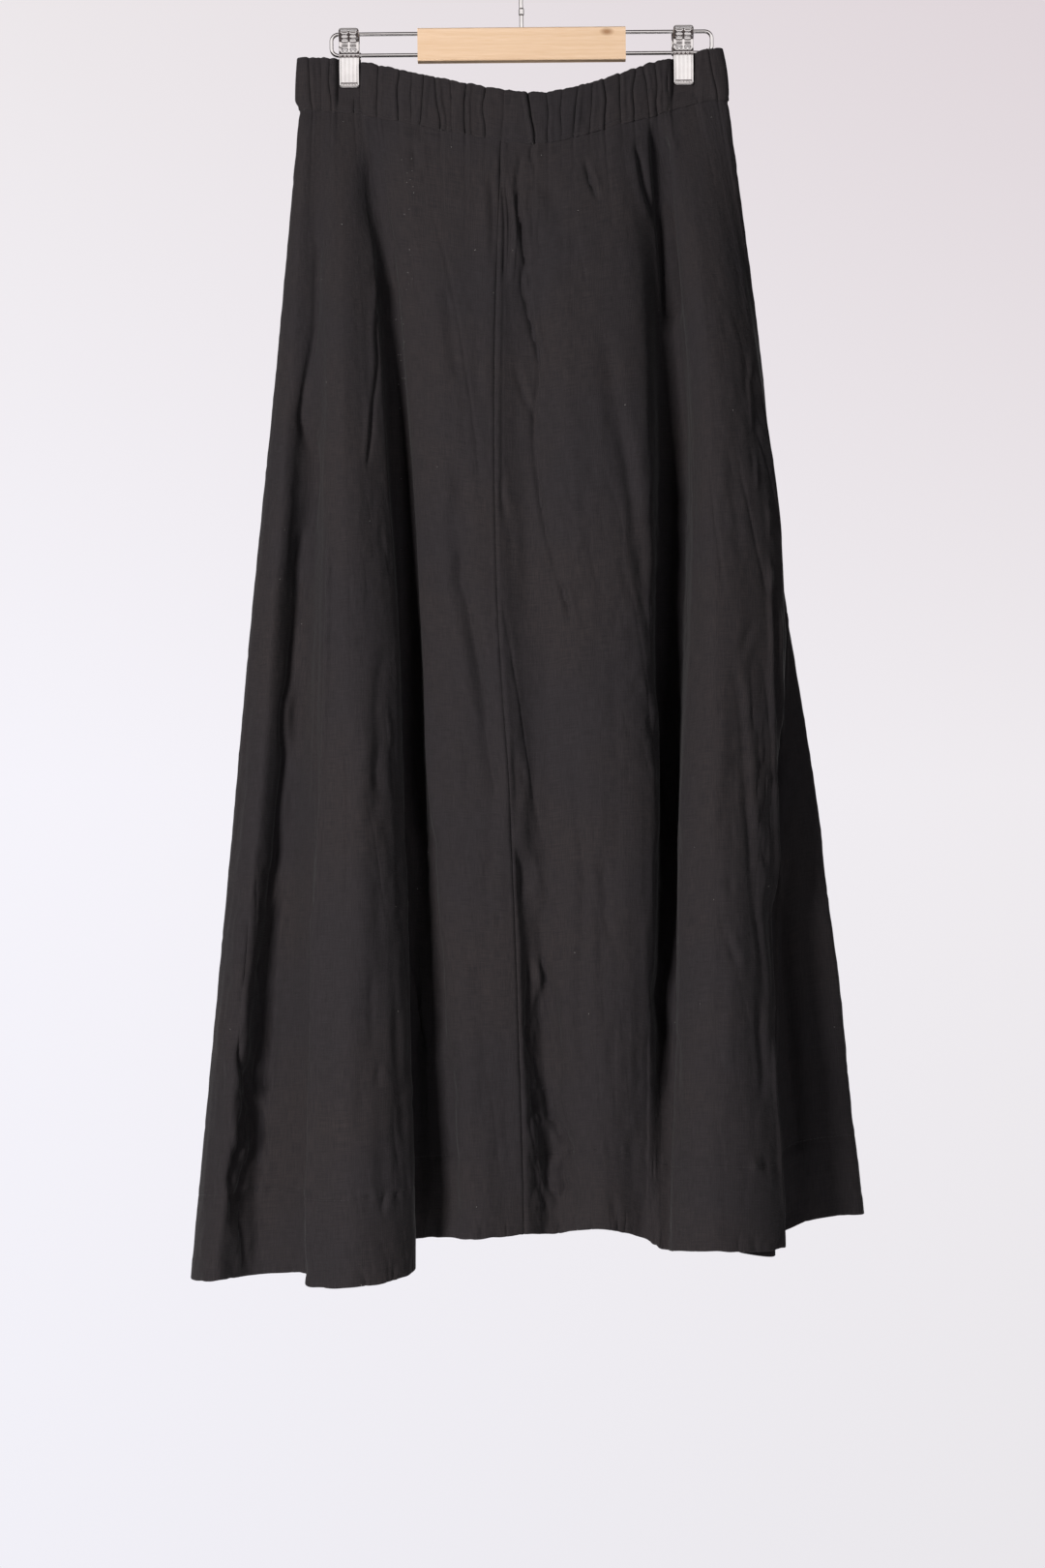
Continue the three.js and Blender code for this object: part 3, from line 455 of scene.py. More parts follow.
def tube(path, radius, sides):
    """A round tube along a path, with rounded ends."""
    path = np.asarray(path, float)
    lead, tail = unit(path[1] - path[0]), unit(path[-1] - path[-2])
    head = [path[0] - lead * radius * math.sin(a) for a in END_TURN]
    foot = [path[-1] + tail * radius * math.sin(a) for a in END_TURN[::-1]]
    ends = radius * np.cos(END_TURN)
    radii = np.concatenate([ends, np.full(len(path), float(radius)), ends[::-1]])
    path = np.concatenate([head, path, foot])
    ahead = unit(np.gradient(path, axis=0))
    side = np.cross(ahead[0], (0.1, 1.0, 0.2))
    frames = []
    for direction in ahead:
        side = unit(side - direction * np.dot(side, direction))
        frames.append((side, np.cross(direction, side)))
    angles = np.linspace(0, 2 * math.pi, sides, endpoint=False)
    rings = [
        centre + r * (np.cos(angles)[:, None] * a + np.sin(angles)[:, None] * b)
        for centre, r, (a, b) in zip(path, radii, frames)
    ]
    quads = grid_quads(len(rings), sides, False, True)[:, ::-1]
    k = np.arange(1, sides - 2, 2)
    cap = np.stack([0 * k, k, k + 1, k + 2], axis=1)
    quads = np.concatenate([quads, cap[:, ::-1], cap + (len(rings) - 1) * sides])
    return np.concatenate(rings), quads


def threads(starts, ends, out, radius):
    """Stitches as small rounded bars from starts to ends, lying on the side that out points to."""
    sides = 6
    along = ends - starts
    across = unit(np.cross(along, out))
    stations = ((0.0, 0.35, -0.35), (0.18, 1.0, 0.25), (0.82, 1.0, 0.25), (1.0, 0.35, -0.35))
    angles = np.linspace(0, 2 * math.pi, sides, endpoint=False)
    rings = []
    for share, fat, lift in stations:
        centre = starts + along * share + out * radius * lift
        ring = [centre + radius * fat * (math.cos(a) * across + math.sin(a) * out) for a in angles]
        rings.append(np.stack(ring, axis=1))
    points = np.stack(rings, axis=1)
    count = len(starts)
    one = grid_quads(len(stations), sides, False, True)
    caps = np.array([[0, 1, 2, 3], [0, 3, 4, 5]])
    far = (len(stations) - 1) * sides
    one = np.concatenate([one, caps, far + caps[:, ::-1]])
    per = len(stations) * sides
    quads = (np.arange(count) * per)[:, None, None] + one[None]
    return points.reshape(-1, 3), quads.reshape(-1, 4)


# The waist
GATHER_DEPTH = 2.3
GATHER_WANDER = 1.8
GATHER_SWELL = 0.5
CASING_CRUMPLE = 0.45
CASING_PLUMP = 0.25
CASING_CUT_HEIGHT = 44  # length of cloth down one face of the casing
SEAM_WAVE = 0.9
SEAM_GROOVE = 0.35
CASING_ACROSS = 520
CASING_DOWN = 33
STITCH_DOWN = 0.93  # share of the casing's height at which its lower stitching runs
EDGE_TURN = np.radians([45, 90, 135])


def waist_column(column, x):
    return through(WAIST[:, 0], WAIST[:, column], x)


def from_clip(x):
    return np.minimum(np.abs(x - PINCHES[0]), np.abs(x - PINCHES[1]))


def waist_depth(side, x, down):
    """How far a layer of the waist stands from the middle plane, down a share of the casing."""
    hold = mix(1, PINCH_AT_SEAM, smooth(down, PINCH_LOOSENS, 1))
    free = smooth(from_clip(x), PINCH_FLAT, PINCH_END)
    pinched = mix(waist_column(side, x), PINCHED_DEPTH, hold * (1 - free))
    to_end = np.minimum(x - WAIST_LEFT, WAIST_RIGHT - x)
    inward = np.clip(1 - to_end / WAIST_ROUND, 0, 1)
    return pinched * np.sqrt(1 - inward**2)


def end_shift(x, down):
    """The casing's ends slant in towards its top on the right and draw in at the seam on the left."""
    right = smooth(x, WAIST_RIGHT - END_REACH, WAIST_RIGHT)
    left = 1 - smooth(x, WAIST_LEFT, WAIST_LEFT + END_REACH)
    upward = (1 - down) ** 2
    left_in = LEFT_TOP_IN * upward + LEFT_SEAM_IN * smooth(down, 0.8, 1)
    return left * left_in - right * RIGHT_TOP_IN * upward


def gather_relief(gathers, x, down):
    """How far the gathered cloth stands out from its layer, and how full it is there."""
    ends = [(WAIST_LEFT, WAIST_LEFT, 0, 1), *gathers, (WAIST_RIGHT, WAIST_RIGHT, 0, 1)]
    top, foot, depth, lean = np.array(ends, float).T
    wander = GATHER_WANDER * noise(top / 3.1, down * 2.4 + 0 * top, 7) * (depth > 0)
    at = mix(top, foot, down) + wander
    i = np.clip(np.searchsorted(at, x) - 1, 0, len(at) - 2)
    gap = at[i + 1] - at[i]
    share = np.clip((x - at[i]) / gap, 0, 1)
    full = np.sqrt(np.minimum(gap / PUFF_SPAN, 1)) * np.sin(np.pi * share) ** 0.5
    relief = PUFF * full
    swell = 0.75 + GATHER_SWELL * noise(top / 2.3, down * 1.8 + 0 * top, 8)
    for k in np.flatnonzero(depth):
        d = x - at[k]
        stand = 0.45 * bell(d - lean[k] * 2.1 * GATHER_WIDTH, 1.5 * GATHER_WIDTH)
        relief = relief + depth[k] ** 1.4 * swell[k] * (stand - bell(d, GATHER_WIDTH))
    return GATHER_DEPTH * relief, full


def casing_layer(side, gathers, x, down):
    """One row of the casing's middle surface."""
    near_end = np.minimum(x - WAIST_LEFT, WAIST_RIGHT - x)
    inland = smooth(near_end, CALM_END, FREE_END)
    loose = smooth(from_clip(x), PINCH_FLAT, PINCH_END + CALM_BESIDE_CLIP) * inland
    free = np.maximum(loose, smooth(down, PINCH_LOOSENS, 1) * inland)
    fullness = mix(EDGE_FULLNESS, 1, math.sin(math.pi * down))
    relief, full = gather_relief(gathers, x, down)
    small = CASING_CRUMPLE * noise(x / 5, np.full(len(x), down * 3.0), 5 + side)
    stand = waist_depth(side, x, down) + (relief + small) * free * fullness
    y = stand * (-1 if side == FRONT else 1)
    ruffle = EDGE_RUFFLE * (full - 0.5) + 0.8 * noise(x / 3.4, np.full(len(x), 0.5), 9 + side)
    ruffle = ruffle + 0.3 * noise(x / 1.6, np.full(len(x), 4.5), 9 + side)
    edge = waist_column(EDGE, x) + ruffle * loose
    ragged = noise(x / 7, np.full(len(x), 2.5), 3) + 0.6 * noise(x / 2.9, np.full(len(x), 6.5), 3)
    foot = waist_column(SEAM, x) + SEAM_WAVE * ragged * inland
    return np.stack([x + end_shift(x, down), y, mix(edge, foot, down)], axis=1)


def casing_columns():
    turn = WAIST_ROUND * (1 - np.cos(np.linspace(0, math.pi / 2, 9)[:-1]))
    middle = np.linspace(WAIST_LEFT + WAIST_ROUND, WAIST_RIGHT - WAIST_ROUND, CASING_ACROSS)
    return np.concatenate([WAIST_LEFT + turn, middle, (WAIST_RIGHT - turn)[::-1]])


def casing():
    """The waistband: a flat tube of doubled cloth with a round top edge, all round the waist."""
    x = casing_columns()
    down = np.linspace(0, 1, CASING_DOWN)
    rows = []
    for share in down:
        front = casing_layer(FRONT, FRONT_GATHERS, x, share)
        back = casing_layer(BACK, BACK_GATHERS, x, share)
        rows.append(np.concatenate([front, back[-2:0:-1]]))
    middle = np.array(rows)
    around = np.roll(middle, -1, 1) - np.roll(middle, 1, 1)
    around[..., 2] = 0
    out = unit(np.cross(-UP, around))
    half = CASING_WALL / 2
    groove = SEAM_GROOVE * bell(down - STITCH_DOWN, 0.025)[:, None, None]
    plump = CASING_PLUMP * np.sin(math.pi * down)[:, None, None]
    outer = middle + out * (half + plump - groove)
    inner = middle - out * half
    over = [middle[0] + half * (math.cos(a) * -out[0] + math.sin(a) * UP) for a in EDGE_TURN]
    under = [middle[-1] + half * (math.cos(a) * out[-1] - 0.6 * math.sin(a) * UP) for a in EDGE_TURN]
    loop = np.concatenate([outer, under, inner[::-1], over])
    points = loop.reshape(-1, 3)
    quads = grid_quads(len(loop), loop.shape[1], True, True)
    step = np.linalg.norm(np.diff(middle[0], axis=0, prepend=middle[:1, 0]), axis=1)
    u = np.broadcast_to(np.cumsum(step), loop.shape[:2])
    heights = np.concatenate([down, np.linspace(1, 1.06, 3), 2.1 - down[::-1], [2.13, 2.16, 2.19]])
    v = np.broadcast_to((-CASING_CUT_HEIGHT * heights)[:, None], loop.shape[:2])
    piece = mesh_object("waistband_cloth", points, quads, np.stack([u, v], -1).reshape(-1, 2))
    return piece, outer, out, down


# The skirt's panels
FRONT_COLUMNS = 357
BACK_COLUMNS = 221
INSIDE_STEP = 4  # the inside has one column for so many of the outside
ROUND_STEPS = 400
TOP_ZONE = 60.0  # how far down the rows are close together
HEM_ZONE = 5.0  # how far above the hem they get close together again
HEM_TOP = SKIRT_LENGTH - HEM_DEPTH
HEM_TURN = np.radians([45, 90, 135])
HEM_TURN_DOWN = np.array([0.8, 1.5, 2.2])  # length of cloth down to each row of the turn
HEM_FOLD = 3.0  # length of cloth in the whole turn
HEM_UNLEVEL = 0.5
TUCK_UNDER = (3.0, 1.5)  # rows that go up into the casing
TUCK_BACK = 0.25
WAIST_REACH = 40.0  # how far down a panel's top follows the waist
SEAM_GAP = 0.02
SEAM_ROLL = 0.9
SEAM_ROLL_WIDTH = 1.2
SEAM_PUCKER = 0.35
SEAM_SHADOW = 0.9  # how far the cloth falls back just below the waist seam
SIDE_SHARE = 0.25  # share of a centre seam's roll that a side seam has
CALM_BY_SEAM = 25.0  # the width in which waves die out towards the left side seam
ALLOWANCE = 5.2  # width of the seam allowance that shows through beside the front seam
ALLOWANCE_FROM, ALLOWANCE_TO = -301.0, -460.0
GATHER_FADE = 38.0  # how far down the waist's gathers fade
GATHER_CARRY = 0.4  # share of their depth that goes on below the casing
CREASE_DEPTH = 2.6  # times the depths in CREASES
GULLY_STEEPNESS = 4
PULL_LEAN = -0.13
BACK_SHIFT = 38.0
BACK_DROP = 45.0
BACK_TOP = -190  # the back's creases start below this

# Noise over the cloth: its height, its width round the skirt, its length down it, and its seed
WIDE_FOLDS = (2.0, 34, 260, 11)
MIDDLE_FOLDS = (1.25, 15, 110, 12)
FINE_FOLDS = (0.5, 6.5, 50, 13)
RUMPLED_WHERE = (1, 60, 90, 14)
RUMPLES = (0.8, 8, 12, 15)
LONG_PULLS = (1, 30, 170, 16)
PULLED_WHERE = (1, 45, 120, 17)
SHORT_PULLS = (1, 13, 42, 18)
BELOW_SEAM = (0.8, 16, 400, 21)
HEM_PUCKERS = (1.0, 5.5, 25, 41)
EDGE_PUCKERS = (1.3, 6.5, 40, 42)
EDGE_NICKS = (1, 9, 60, 44)
CRUMPLES = (1, 5, 17, 51)
CRUMPLE_LINES = (1, 8, 26, 52)

# The folds that fall into deep gullies beside the flutes, and the broader folds, in the same
# terms as the creases; a negative depth is a ridge
GULLIES = [
    (7.0, 12.0, 0, [(116, -152), (117, -180), (120, -221), (123, -260), (126, -303), (127, -344)]),
    (8.0, 8.0, 0, [(-116, -262), (-112, -312), (-107, -385), (-101, -467), (-96, -549), (-92, -631),
        (-89, -713), (-80, -795), (-75, -877), (-71, -959)]),
    (11.0, 9.0, 0, [(-71, -927), (-67, -984), (-64, -1050), (-62, -1115)]),
]
VALLEYS = [
    (11.0, 7.0, 0, [(-171, -369), (-179, -415), (-181, -493), (-187, -563), (-192, -657),
        (-198, -713), (-211, -877), (-218, -943), (-230, -1041), (-236, -1115)]),
    (9.0, 9.0, 0, [(213, -800), (224, -900), (231, -990), (234, -1060), (238, -1110)]),
    (7.0, 4.5, 0, [(-61, -467), (-52, -541), (-40, -607), (-29, -681), (-19, -750)]),
    (8.0, 4.5, 0, [(-2, -770), (7, -850), (11, -920), (16, -990), (23, -1040), (34, -1091)]),
    (2.6, 2.6, 0, [(2, -180), (-3, -216), (1, -258), (6, -287), (9, -328), (16, -366), (11, -426),
        (20, -502), (43, -586)]),
    (1.5, 2.6, 0, [(-18, -184), (-16, -213), (-14, -246), (-14, -279), (-16, -303)]),
    (8.0, 3.0, 0, [(68, -330), (79, -385), (91, -455), (102, -531), (114, -615), (121, -681)]),
    (2.5, 2.0, 0, [(52, -184), (58, -205), (67, -231)]),
    (9.0, 4.0, 0, [(-123, -180), (-120, -221), (-116, -254), (-112, -295)]),
    (5.0, 2.6, 0, [(46, -700), (52, -800), (50, -900), (57, -1000)]),
    (1.6, -0.9, 0, [(-162, -467), (-162, -566), (-165, -656), (-169, -754), (-172, -861),
        (-175, -959), (-178, -1041), (-180, -1115)]),
    (12.0, 6.0, 0, [(16, -860), (22, -930), (27, -985), (33, -1040), (41, -1100)]),
    (2.6, 2.4, 0, [(10, -877), (16, -906), (8, -939), (19, -964)]),
    (2.4, 2.6, 0, [(20, -972), (11, -1000), (24, -1029)]),
    (2.0, 2.4, 0, [(29, -1035), (22, -1054), (32, -1073), (39, -1059), (44, -1078)]),
    (2.2, 2.0, 0, [(6, -1029), (12, -1054), (7, -1086)]),
    (2.4, 2.0, 0, [(44, -1000), (35, -1033), (45, -1062)]),
    (2.6, 2.6, 0, [(-235, -907), (-238, -954), (-233, -984), (-220, -1019), (-233, -1055),
        (-237, -1085), (-233, -1114)]),
    (2.4, 2.2, 0, [(-216, -877), (-213, -931), (-221, -976), (-215, -1013), (-223, -1050)]),
    (2.2, 1.8, 0, [(-250, -1000), (-244, -1033), (-252, -1074)]),
]

# Where the front is crumpled most: (x, z), the width and height of the patch, and how deep
CRUMPLED = [
    ((20, -1000), (17, 90), 2.4),
    ((-236, -1025), (15, 110), 2.0),
    ((206, -740), (12, 100), 1.0),
    ((-2, -250), (20, 60), 0.9),
]


def fold_knots(down):
    """The fold lines' points at each share of the way down."""
    waist = np.array([row[0] for row in FOLDS], float)
    levels = np.array([[point[:2] for point in row[1:]] for row in FOLDS], float)
    front = np.arange(len(FOLDS)) <= RIGHT_SIDE
    depth = np.where(front, -waist_depth(FRONT, waist, 1), waist_depth(BACK, waist, 1))
    x = np.vstack([waist + end_shift(waist, 1), levels[:, :, 0].T])
    y = np.vstack([depth, levels[:, :, 1].T])
    foot = np.array([row[-1][2] for row in FOLDS], float)
    z = mix(waist_column(SEAM, waist) - GAP, foot, down[:, None])
    return np.dstack([through(LEVELS, x, down), through(LEVELS, y, down), z])


def spread(first, last, columns):
    """Places between two folds, evenly spaced along the cloth, and their distance round the skirt."""
    fine = np.linspace(first, last, 60 * (last - first) + 1)
    rings = curve_points(fold_knots(np.array([0.1, 0.45, 0.75, 1.0])), fine, True)
    steps = np.linalg.norm(np.diff(rings, axis=1), axis=2).mean(0)
    along = np.concatenate([[0], np.cumsum(steps)])
    even = np.linspace(0, along[-1], columns)
    return np.interp(even, along, fine), even


def rows_down():
    """Distances down the skirt, closer together by the waist seam and in the hem."""
    upper = np.linspace(0, TOP_ZONE, 22, endpoint=False)
    middle = np.linspace(TOP_ZONE, HEM_TOP - HEM_ZONE, 164, endpoint=False)
    return np.concatenate([upper, middle, np.linspace(HEM_TOP - HEM_ZONE, SKIRT_LENGTH, 28)])


def outwards(grid):
    return unit(np.cross(np.gradient(grid, axis=0), np.gradient(grid, axis=1)))


def seen_from_camera(grid):
    """x and z where the camera sees points, on the plane of the hanger."""
    reach = CAMERA_DISTANCE / (CAMERA_DISTANCE + grid[..., 1])
    x = CAMERA_X + (grid[..., 0] - CAMERA_X) * reach
    z = CAMERA_Z + (grid[..., 2] - CAMERA_Z) * reach
    return x, z


def crease_relief(x, z, creases, steepness=2):
    """Sum of soft troughs and ridges along their paths, faded at their ends."""
    relief = np.zeros(x.shape)
    for width, depth, lip, path in creases:
        path = np.array(path, float)
        reach = 4 * width
        low, high = path.min(0) - reach, path.max(0) + reach
        near = (x > low[0]) & (x < high[0]) & (z > low[1]) & (z < high[1])
        if not near.any():
            continue
        places = np.linspace(0, len(path) - 1, 6 * (len(path) - 1) + 1)
        line = curve_points(path[None], places, False)[0]
        lengths = np.concatenate([[0], np.cumsum(np.linalg.norm(np.diff(line, axis=0), axis=1))])
        px, pz = x[near], z[near]
        best = np.full(px.shape, 1e9)
        signed, along = np.zeros(px.shape), np.zeros(px.shape)
        for k, (a, b) in enumerate(zip(line[:-1], line[1:])):
            leg = b - a
            size = max(np.hypot(*leg), 1e-6)
            t = np.clip(((px - a[0]) * leg[0] + (pz - a[1]) * leg[1]) / size**2, 0, 1)
            dx, dz = px - a[0] - t * leg[0], pz - a[1] - t * leg[1]
            far = np.hypot(dx, dz)
            closer = far < best
            best = np.where(closer, far, best)
            turn = np.sign(-dx * leg[1] + dz * leg[0])
            signed = np.where(closer, far * turn, signed)
            along = np.where(closer, lengths[k] + t * size, along)
        total = lengths[-1]
        end = np.minimum(along, total - along) / min(total / 2, 3 * width + 14)
        fade = smooth(end, 0, 1) * (0.88 + 0.12 * np.sin(along / (5 * width) + 13 * width))
        stand = 0.5 * abs(lip) * bell(signed - lip * 1.9 * width, 1.4 * width)
        relief[near] += depth * fade * (stand - np.exp(-((best / width) ** steepness)))
    return relief


def back_creases():
    """The hidden back's creases: the front's, mirrored, shifted and turned into its own order."""
    made = []
    for k, (width, depth, lip, path) in enumerate(CREASES[::2]):
        shift = BACK_SHIFT * math.sin(1.9 * k)
        lower = BACK_DROP * math.cos(2.7 * k)
        moved = [(-x + shift, min(z + lower, BACK_TOP)) for x, z in path]
        made.append((1.3 * width, depth, -lip, moved))
    return made


def follow_waist(grid, side):
    """Fits the top of a panel to the waist's own curve."""
    top = grid[0].copy()
    x = np.linspace(WAIST_LEFT, WAIST_RIGHT, 1500)
    at = np.interp(top[:, 0], x + end_shift(x, 1), x)
    sign = -1 if side == FRONT else 1
    exact_y = sign * waist_depth(side, at, 1)
    exact_z = waist_column(SEAM, at) - GAP
    return at, exact_y - top[:, 1], exact_z - top[:, 2]


def ripples(kind, around, distance):
    """Noise of one kind over the cloth."""
    height, width, length, seed = kind
    return height * noise(around / width, distance / length, seed)


def sharp_line(value):
    """1 where smooth noise crosses zero, falling off quickly beside it."""
    return np.clip(1 - 5 * np.abs(value), 0, 1) ** 2


def soft_folds(around, distance):
    """Streaks and small waves that run down the cloth, uneven in length, depth and spacing."""
    ramp = smooth(distance, 10, 160)
    wide = ripples(WIDE_FOLDS, around, distance) * ramp
    middle = ripples(MIDDLE_FOLDS, around, distance) * mix(0.5, 1, ramp)
    fine = ripples(FINE_FOLDS, around, distance) * ramp
    rumpled = smooth(ripples(RUMPLED_WHERE, around, distance), -0.3, 0.6)
    crumple = ripples(RUMPLES, around, distance) * rumpled * mix(0.4, 1, ramp)
    drift = around + PULL_LEAN * distance
    uneven = smooth(ripples(PULLED_WHERE, around, distance), -0.4, 0.5) * ramp
    pulls = sharp_line(ripples(LONG_PULLS, drift, distance)) * uneven
    short = sharp_line(ripples(SHORT_PULLS, drift, distance)) * rumpled * ramp
    return wide + middle + fine + crumple - 1.3 * pulls - 0.7 * short


def panel_grid(side, distance, places, around, by_seam):
    """The smooth middle surface of a panel, and the x at the waist of each of its columns."""
    grid = curve_points(fold_knots(distance / SKIRT_LENGTH), places, True)
    at, lift_y, lift_z = follow_waist(grid, side)
    unlevel = HEM_UNLEVEL * noise(around / 9, 0 * around, 43) * by_seam
    grid[..., 2] += smooth(distance, HEM_TOP, SKIRT_LENGTH)[:, None] * unlevel
    near_top = 1 - smooth(distance, 0, WAIST_REACH)
    grid[..., 1] += near_top[:, None] * lift_y
    grid[..., 2] += near_top[:, None] * lift_z
    return grid, at


def gathers_below(gathers, at, s, u, room):
    """The gathers where they run on below the casing, and the dip just under its seam."""
    relief, _ = gather_relief(gathers, at, 1.0)
    pinch = smooth(from_clip(at), PINCH_FLAT, PINCH_END) * 0.5 + 0.5
    inland = smooth(np.minimum(at - WAIST_LEFT, WAIST_RIGHT - at), CALM_END, FREE_END)
    gathered = GATHER_CARRY * relief * inland * EDGE_FULLNESS * pinch
    bumps = gathered * np.exp(-s / GATHER_FADE) - SEAM_SHADOW * bell(s - 2.5, 3)
    return bumps + room * ripples(BELOW_SEAM, u, s) * np.exp(-s / 90) * inland


def creased(side, grid, out, creases, s, u):
    """Creases, valleys, gullies and crumples, where the camera sees each."""
    x, z = seen_from_camera(grid)
    facing = smooth(out[..., 1] * (-1 if side == FRONT else 1), 0.02, 0.3)
    marks = CREASE_DEPTH * crease_relief(x, z, creases) * facing
    if side == BACK:
        return marks
    marks = marks + crease_relief(x, z, VALLEYS) + crease_relief(x, z, GULLIES, GULLY_STEEPNESS)
    crumpled = ripples(CRUMPLES, u, s) - 1.2 * sharp_line(ripples(CRUMPLE_LINES, u, s))
    for (px, pz), (wide, tall), depth in CRUMPLED:
        marks = marks + depth * crumpled * bell((x - px) / wide, 1) * bell((z - pz) / tall, 1)
    return marks


def seams(first, grid, steps, s, u):
    """The cloth rolled in at the seams of a panel, puckered beside them, over the allowance."""
    from_left = np.concatenate([np.zeros((len(grid), 1)), np.cumsum(steps, axis=1)], axis=1)
    from_right = from_left[:, -1:] - from_left
    edge = np.minimum(from_left, from_right)
    middle_seam = from_right if first in (LEFT_SIDE, RIGHT_SIDE) else from_left
    at_side = np.where(middle_seam > edge, SIDE_SHARE, 1)
    roll = at_side * (0.3 * bell(edge - 2.6, 1.5) - SEAM_ROLL * bell(edge, SEAM_ROLL_WIDTH))
    if first == FRONT_SEAM:
        band = smooth(grid[..., 2], ALLOWANCE_TO - 30, ALLOWANCE_TO)
        band = band * (1 - smooth(grid[..., 2], ALLOWANCE_FROM - 3, ALLOWANCE_FROM + 1))
        held = 1 - smooth(from_left, ALLOWANCE - 0.5, ALLOWANCE + 0.9)
        roll = roll + 0.6 * held * mix(0.35, 1, band)
        roll = roll - 0.35 * bell(from_left - ALLOWANCE - 1.2, 1.0) * band
    return roll + SEAM_PUCKER * noise(s / 6 + 0 * u, edge / 6, 31) * bell(edge, 7)


def hem_relief(s, u, by_seam):
    """The dent of the hem's stitch line, and the puckers and nicks along the hem."""
    hem, above_edge = s - HEM_TOP, SKIRT_LENGTH - s
    puckers = ripples(HEM_PUCKERS, u, s) * bell(hem, 9)
    puckers = puckers + ripples(EDGE_PUCKERS, u, s) * bell(above_edge, 17)
    nicks = sharp_line(ripples(EDGE_NICKS, u, s)) * bell(above_edge, 15)
    return (puckers - 1.6 * nicks) * by_seam - 0.3 * bell(hem, 1.6)


def shell_faces(outer_rows, rows, across, inside_rows, inside_across):
    """Faces of a shell: its outside, its coarser inside, the edges at its seams, hem and top."""
    start = rows * across
    quads = [grid_quads(rows, across, False, False)]
    quads.append(grid_quads(inside_rows, inside_across, False, False, start))
    corners = []
    for edge, inside_edge, flip in ((0, 0, 1), (across - 1, inside_across - 1, -1)):
        pairs = np.arange(outer_rows - 1)
        front = pairs * across + edge
        behind = start + (inside_rows - 1 - pairs) * inside_across + inside_edge
        cap = np.stack([front, behind, behind - inside_across, front + across], axis=1)
        quads.append(cap[:, ::flip])
        foot = [row * across + edge for row in range(outer_rows - 1, rows)]
        corners.append([foot[0], start + inside_edge, *foot[:0:-1]][::flip])
    k = np.arange(inside_across - 1)
    wide = k * INSIDE_STEP
    hem_row = (rows - 1) * across
    lower = [hem_row + wide, start + k, start + k + 1]
    lower += [hem_row + wide + step for step in range(INSIDE_STEP, 0, -1)]
    top_row = start + (inside_rows - 1) * inside_across
    upper = [top_row + k] + [wide + step for step in range(INSIDE_STEP + 1)] + [top_row + k + 1]
    fans = [np.concatenate([np.stack(lower, axis=1), np.stack(upper, axis=1)]), corners]
    return np.concatenate(quads), fans


def cloth_uv(around, s):
    """Where each point lies on the flat cloth, first of the outside and then of the inside."""
    down = np.concatenate([s, SKIRT_LENGTH + HEM_TURN_DOWN])
    inside_down = 2 * SKIRT_LENGTH + HEM_FOLD - s[::-1]
    face = np.broadcast_arrays(around[None, :], -down[:, None])
    inside = np.broadcast_arrays(around[None, ::INSIDE_STEP], -inside_down[:, None])
    return np.concatenate([np.stack(part, axis=-1).reshape(-1, 2) for part in (face, inside)])


def panel(name, side, first, last, columns, gathers, creases):
    """One panel of the skirt as a thin closed shell, with its hem turned up inside."""
    distance = rows_down()
    places, along = spread(first, last, columns)
    around = along + (spread(0, first, ROUND_STEPS)[1][-1] if first else 0)
    whole = spread(0, len(FOLDS), ROUND_STEPS)[1][-1]
    by_seam = smooth(np.minimum(around, whole - around), 0, CALM_BY_SEAM)
    grid, at = panel_grid(side, distance, places, around, by_seam)

    s = distance[:, None]
    u = np.broadcast_to(around, grid.shape[:2])
    out = outwards(grid)
    steps = np.linalg.norm(np.diff(grid, axis=1), axis=2)
    room = np.clip(steps / np.diff(around), 0, 1) ** 2.5
    room = np.concatenate([room[:, :1], room], axis=1)
    waves = room * soft_folds(u, s + 0 * u) * by_seam
    calm = 1 - 0.35 * smooth(s - HEM_TOP, 0, 10)
    relief = gathers_below(gathers, at, s, u, room)
    relief = relief + (creased(side, grid, out, creases, s, u) + waves) * calm
    relief = relief + seams(first, grid, steps, s, u) + hem_relief(s, u, by_seam)
    middle = grid + out * relief[..., None]

    climb = [middle[0] + [0, 0, up] - out[0] * TUCK_BACK for up in TUCK_UNDER]
    middle = np.concatenate([climb, middle])
    s = np.concatenate([-np.array(TUCK_UNDER), distance])
    out = outwards(middle)
    middle[:, 0] += unit(middle[:, 1] - middle[:, 0]) * SEAM_GAP / 2
    middle[:, -1] -= unit(middle[:, -1] - middle[:, -2]) * SEAM_GAP / 2
    wall = mix(LINEN, HEM_LAYERS, smooth(s, HEM_TOP, HEM_TOP + 2))[:, None, None]
    outer = middle + out * LINEN / 2
    inner = outer - out * wall
    centre, half = (outer[-1] + inner[-1]) / 2, HEM_LAYERS / 2
    down = unit(middle[-1] - middle[-2])
    turn = [centre + half * (math.cos(a) * out[-1] + math.sin(a) * down) for a in HEM_TURN]
    inside = inner[::-1, ::INSIDE_STEP]
    face = np.concatenate([outer, turn])
    quads, fans = shell_faces(len(outer), *face.shape[:2], *inside.shape[:2])
    points = np.concatenate([face.reshape(-1, 3), inside.reshape(-1, 3)])
    piece = mesh_object(name, points, quads, cloth_uv(around, s), fans=fans)
    return piece, outer, out, s


# Sewing
HEM_STITCH_ABOVE = 0.5
STITCH_PITCH = 3.0
STITCH_LENGTH = 2.3
THREAD_RADIUS = 0.17


